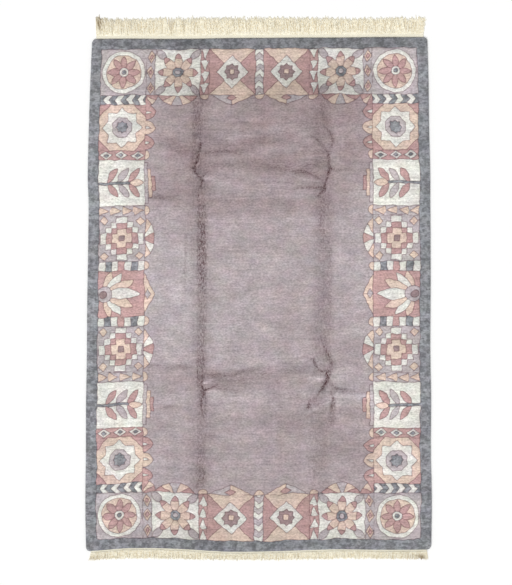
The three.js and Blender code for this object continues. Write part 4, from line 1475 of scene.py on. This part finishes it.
def warp_yarn_material():
    """Plied cotton: fine fibres wound round the strand, with painted shade in the grooves between them,
    each strand its own tone, speckled, soiled in places, and with painted shade where it lies under the
    others."""
    material, wiring, shader = new_material("cotton warp ends", roughness=0.9, sheen_weight=0.08)
    spot = wiring.place("SeparateXYZ", {0: wiring.place("UVMap", uv_map="OFBake").outputs["UV"]})
    around = wiring.times(spot.outputs["X"], 2 * np.pi * MAP_COLUMNS)
    wound = wiring.times_plus(spot.outputs["Y"], 220.0, around)
    fibres = wiring.times_plus(wiring.math("SINE", wound), 0.5, 0.5)
    dye = use_effect(wiring, UNEVEN_DYE, clouds=0.15, blotches=0.15, rows=0.0, streaks=0.26)
    shade = wiring.varied(dye["Shade"], wiring.attribute("dye"), 0.03)
    # The wound fibres darken the colour in the grooves between them: painted shade.
    shade = wiring.times(shade, wiring.times_plus(fibres, 0.08, 0.94))
    colour = wiring.mixed(wiring.attribute("soil"), WARP_COLOUR, SOIL_COLOUR)
    # Painted shade where a strand lies under the others.
    colour = wiring.darkened(wiring.shaded(colour, shade), wiring.attribute("under_shade"), UNDER_SHADE_WEIGHTS)
    speckle = wiring.step(dye["Grain"], 0.38, 0.54, 1.0, 0.0)
    colour = wiring.darkened(colour, speckle, SPECKLE_WEIGHTS)
    feed_surface(wiring, shader, colour, wiring.times(fibres, 0.0004), 0.8)
    return material


def floor_material():
    """A plain pale floor, very slightly uneven."""
    material, wiring, shader = new_material("pale floor", roughness=0.8)
    tone = wiring.around_one(wiring.noise(wiring.position(), (1.5, 1.5, 1.5), 2), 0.02)
    wiring.feed(shader.inputs["Base Color"], wiring.shaded((0.985, 0.985, 0.98, 1.0), tone))
    return material


# The rug

WOOL_PILE = wool_pile_material()
KNOTTED_BACK = foundation_material()
COTTON_WEB = warp_web_material()
WARP_ENDS = warp_yarn_material()

pile = add_sheet("pile", 0, pile_height, in_border_or_fold, PILE_FOOT, True, WOOL_PILE)
foundation = add_sheet(
    "foundation", FOUNDATION_INSET, foundation_height, in_border, FOUNDATION_TOP, False, KNOTTED_BACK
)
for piece in (pile, foundation):
    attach(piece, "root")
    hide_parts("rug_body")

for end, fringe in FRINGES.items():
    web = add_web("web_" + end, fringe, COTTON_WEB)
    strands = add_strands("warp_ends_" + end, fringe, WARP_ENDS)
    for piece in (web, strands):
        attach(piece, "root")
        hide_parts(fringe["node"])


# Floor, light and camera

FLOOR_HALF = 25.0
CAMERA_AIM = (-0.0145, -0.0235)
CAMERA_HEIGHT = 8.104
CAMERA_LENS = 85
KEY_STRENGTH = 1.9
KEY_SOFTNESS = 0.6
KEY_TURN = (np.radians(38), 0, np.radians(-35))
FILL_STRENGTH = 0.55

floor_turns = ((-1, -1), (1, -1), (1, 1), (-1, 1))
floor_corners = [(x * FLOOR_HALF, y * FLOOR_HALF, FLOOR_LEVEL) for x, y in floor_turns]
add_piece("floor", floor_corners, [(0, 1, 2, 3)], floor_material())

key = bpy.data.lights.new("key", "SUN")
key.energy = KEY_STRENGTH
key.angle = KEY_SOFTNESS
key_light = bpy.data.objects.new("key", key)
key_light.rotation_euler = KEY_TURN
bpy.context.collection.objects.link(key_light)

scene = bpy.context.scene
scene.world = bpy.data.worlds.new("studio")
scene.world.use_nodes = True
background = scene.world.node_tree.nodes["Background"]
background.inputs["Color"].default_value = (1.0, 1.0, 1.0, 1.0)
background.inputs["Strength"].default_value = FILL_STRENGTH
scene.view_settings.view_transform = "Standard"

camera = bpy.data.cameras.new("camera")
camera.lens = CAMERA_LENS
camera_stand = bpy.data.objects.new("camera", camera)
camera_stand.location = (*CAMERA_AIM, CAMERA_HEIGHT)
bpy.context.collection.objects.link(camera_stand)
scene.camera = camera_stand
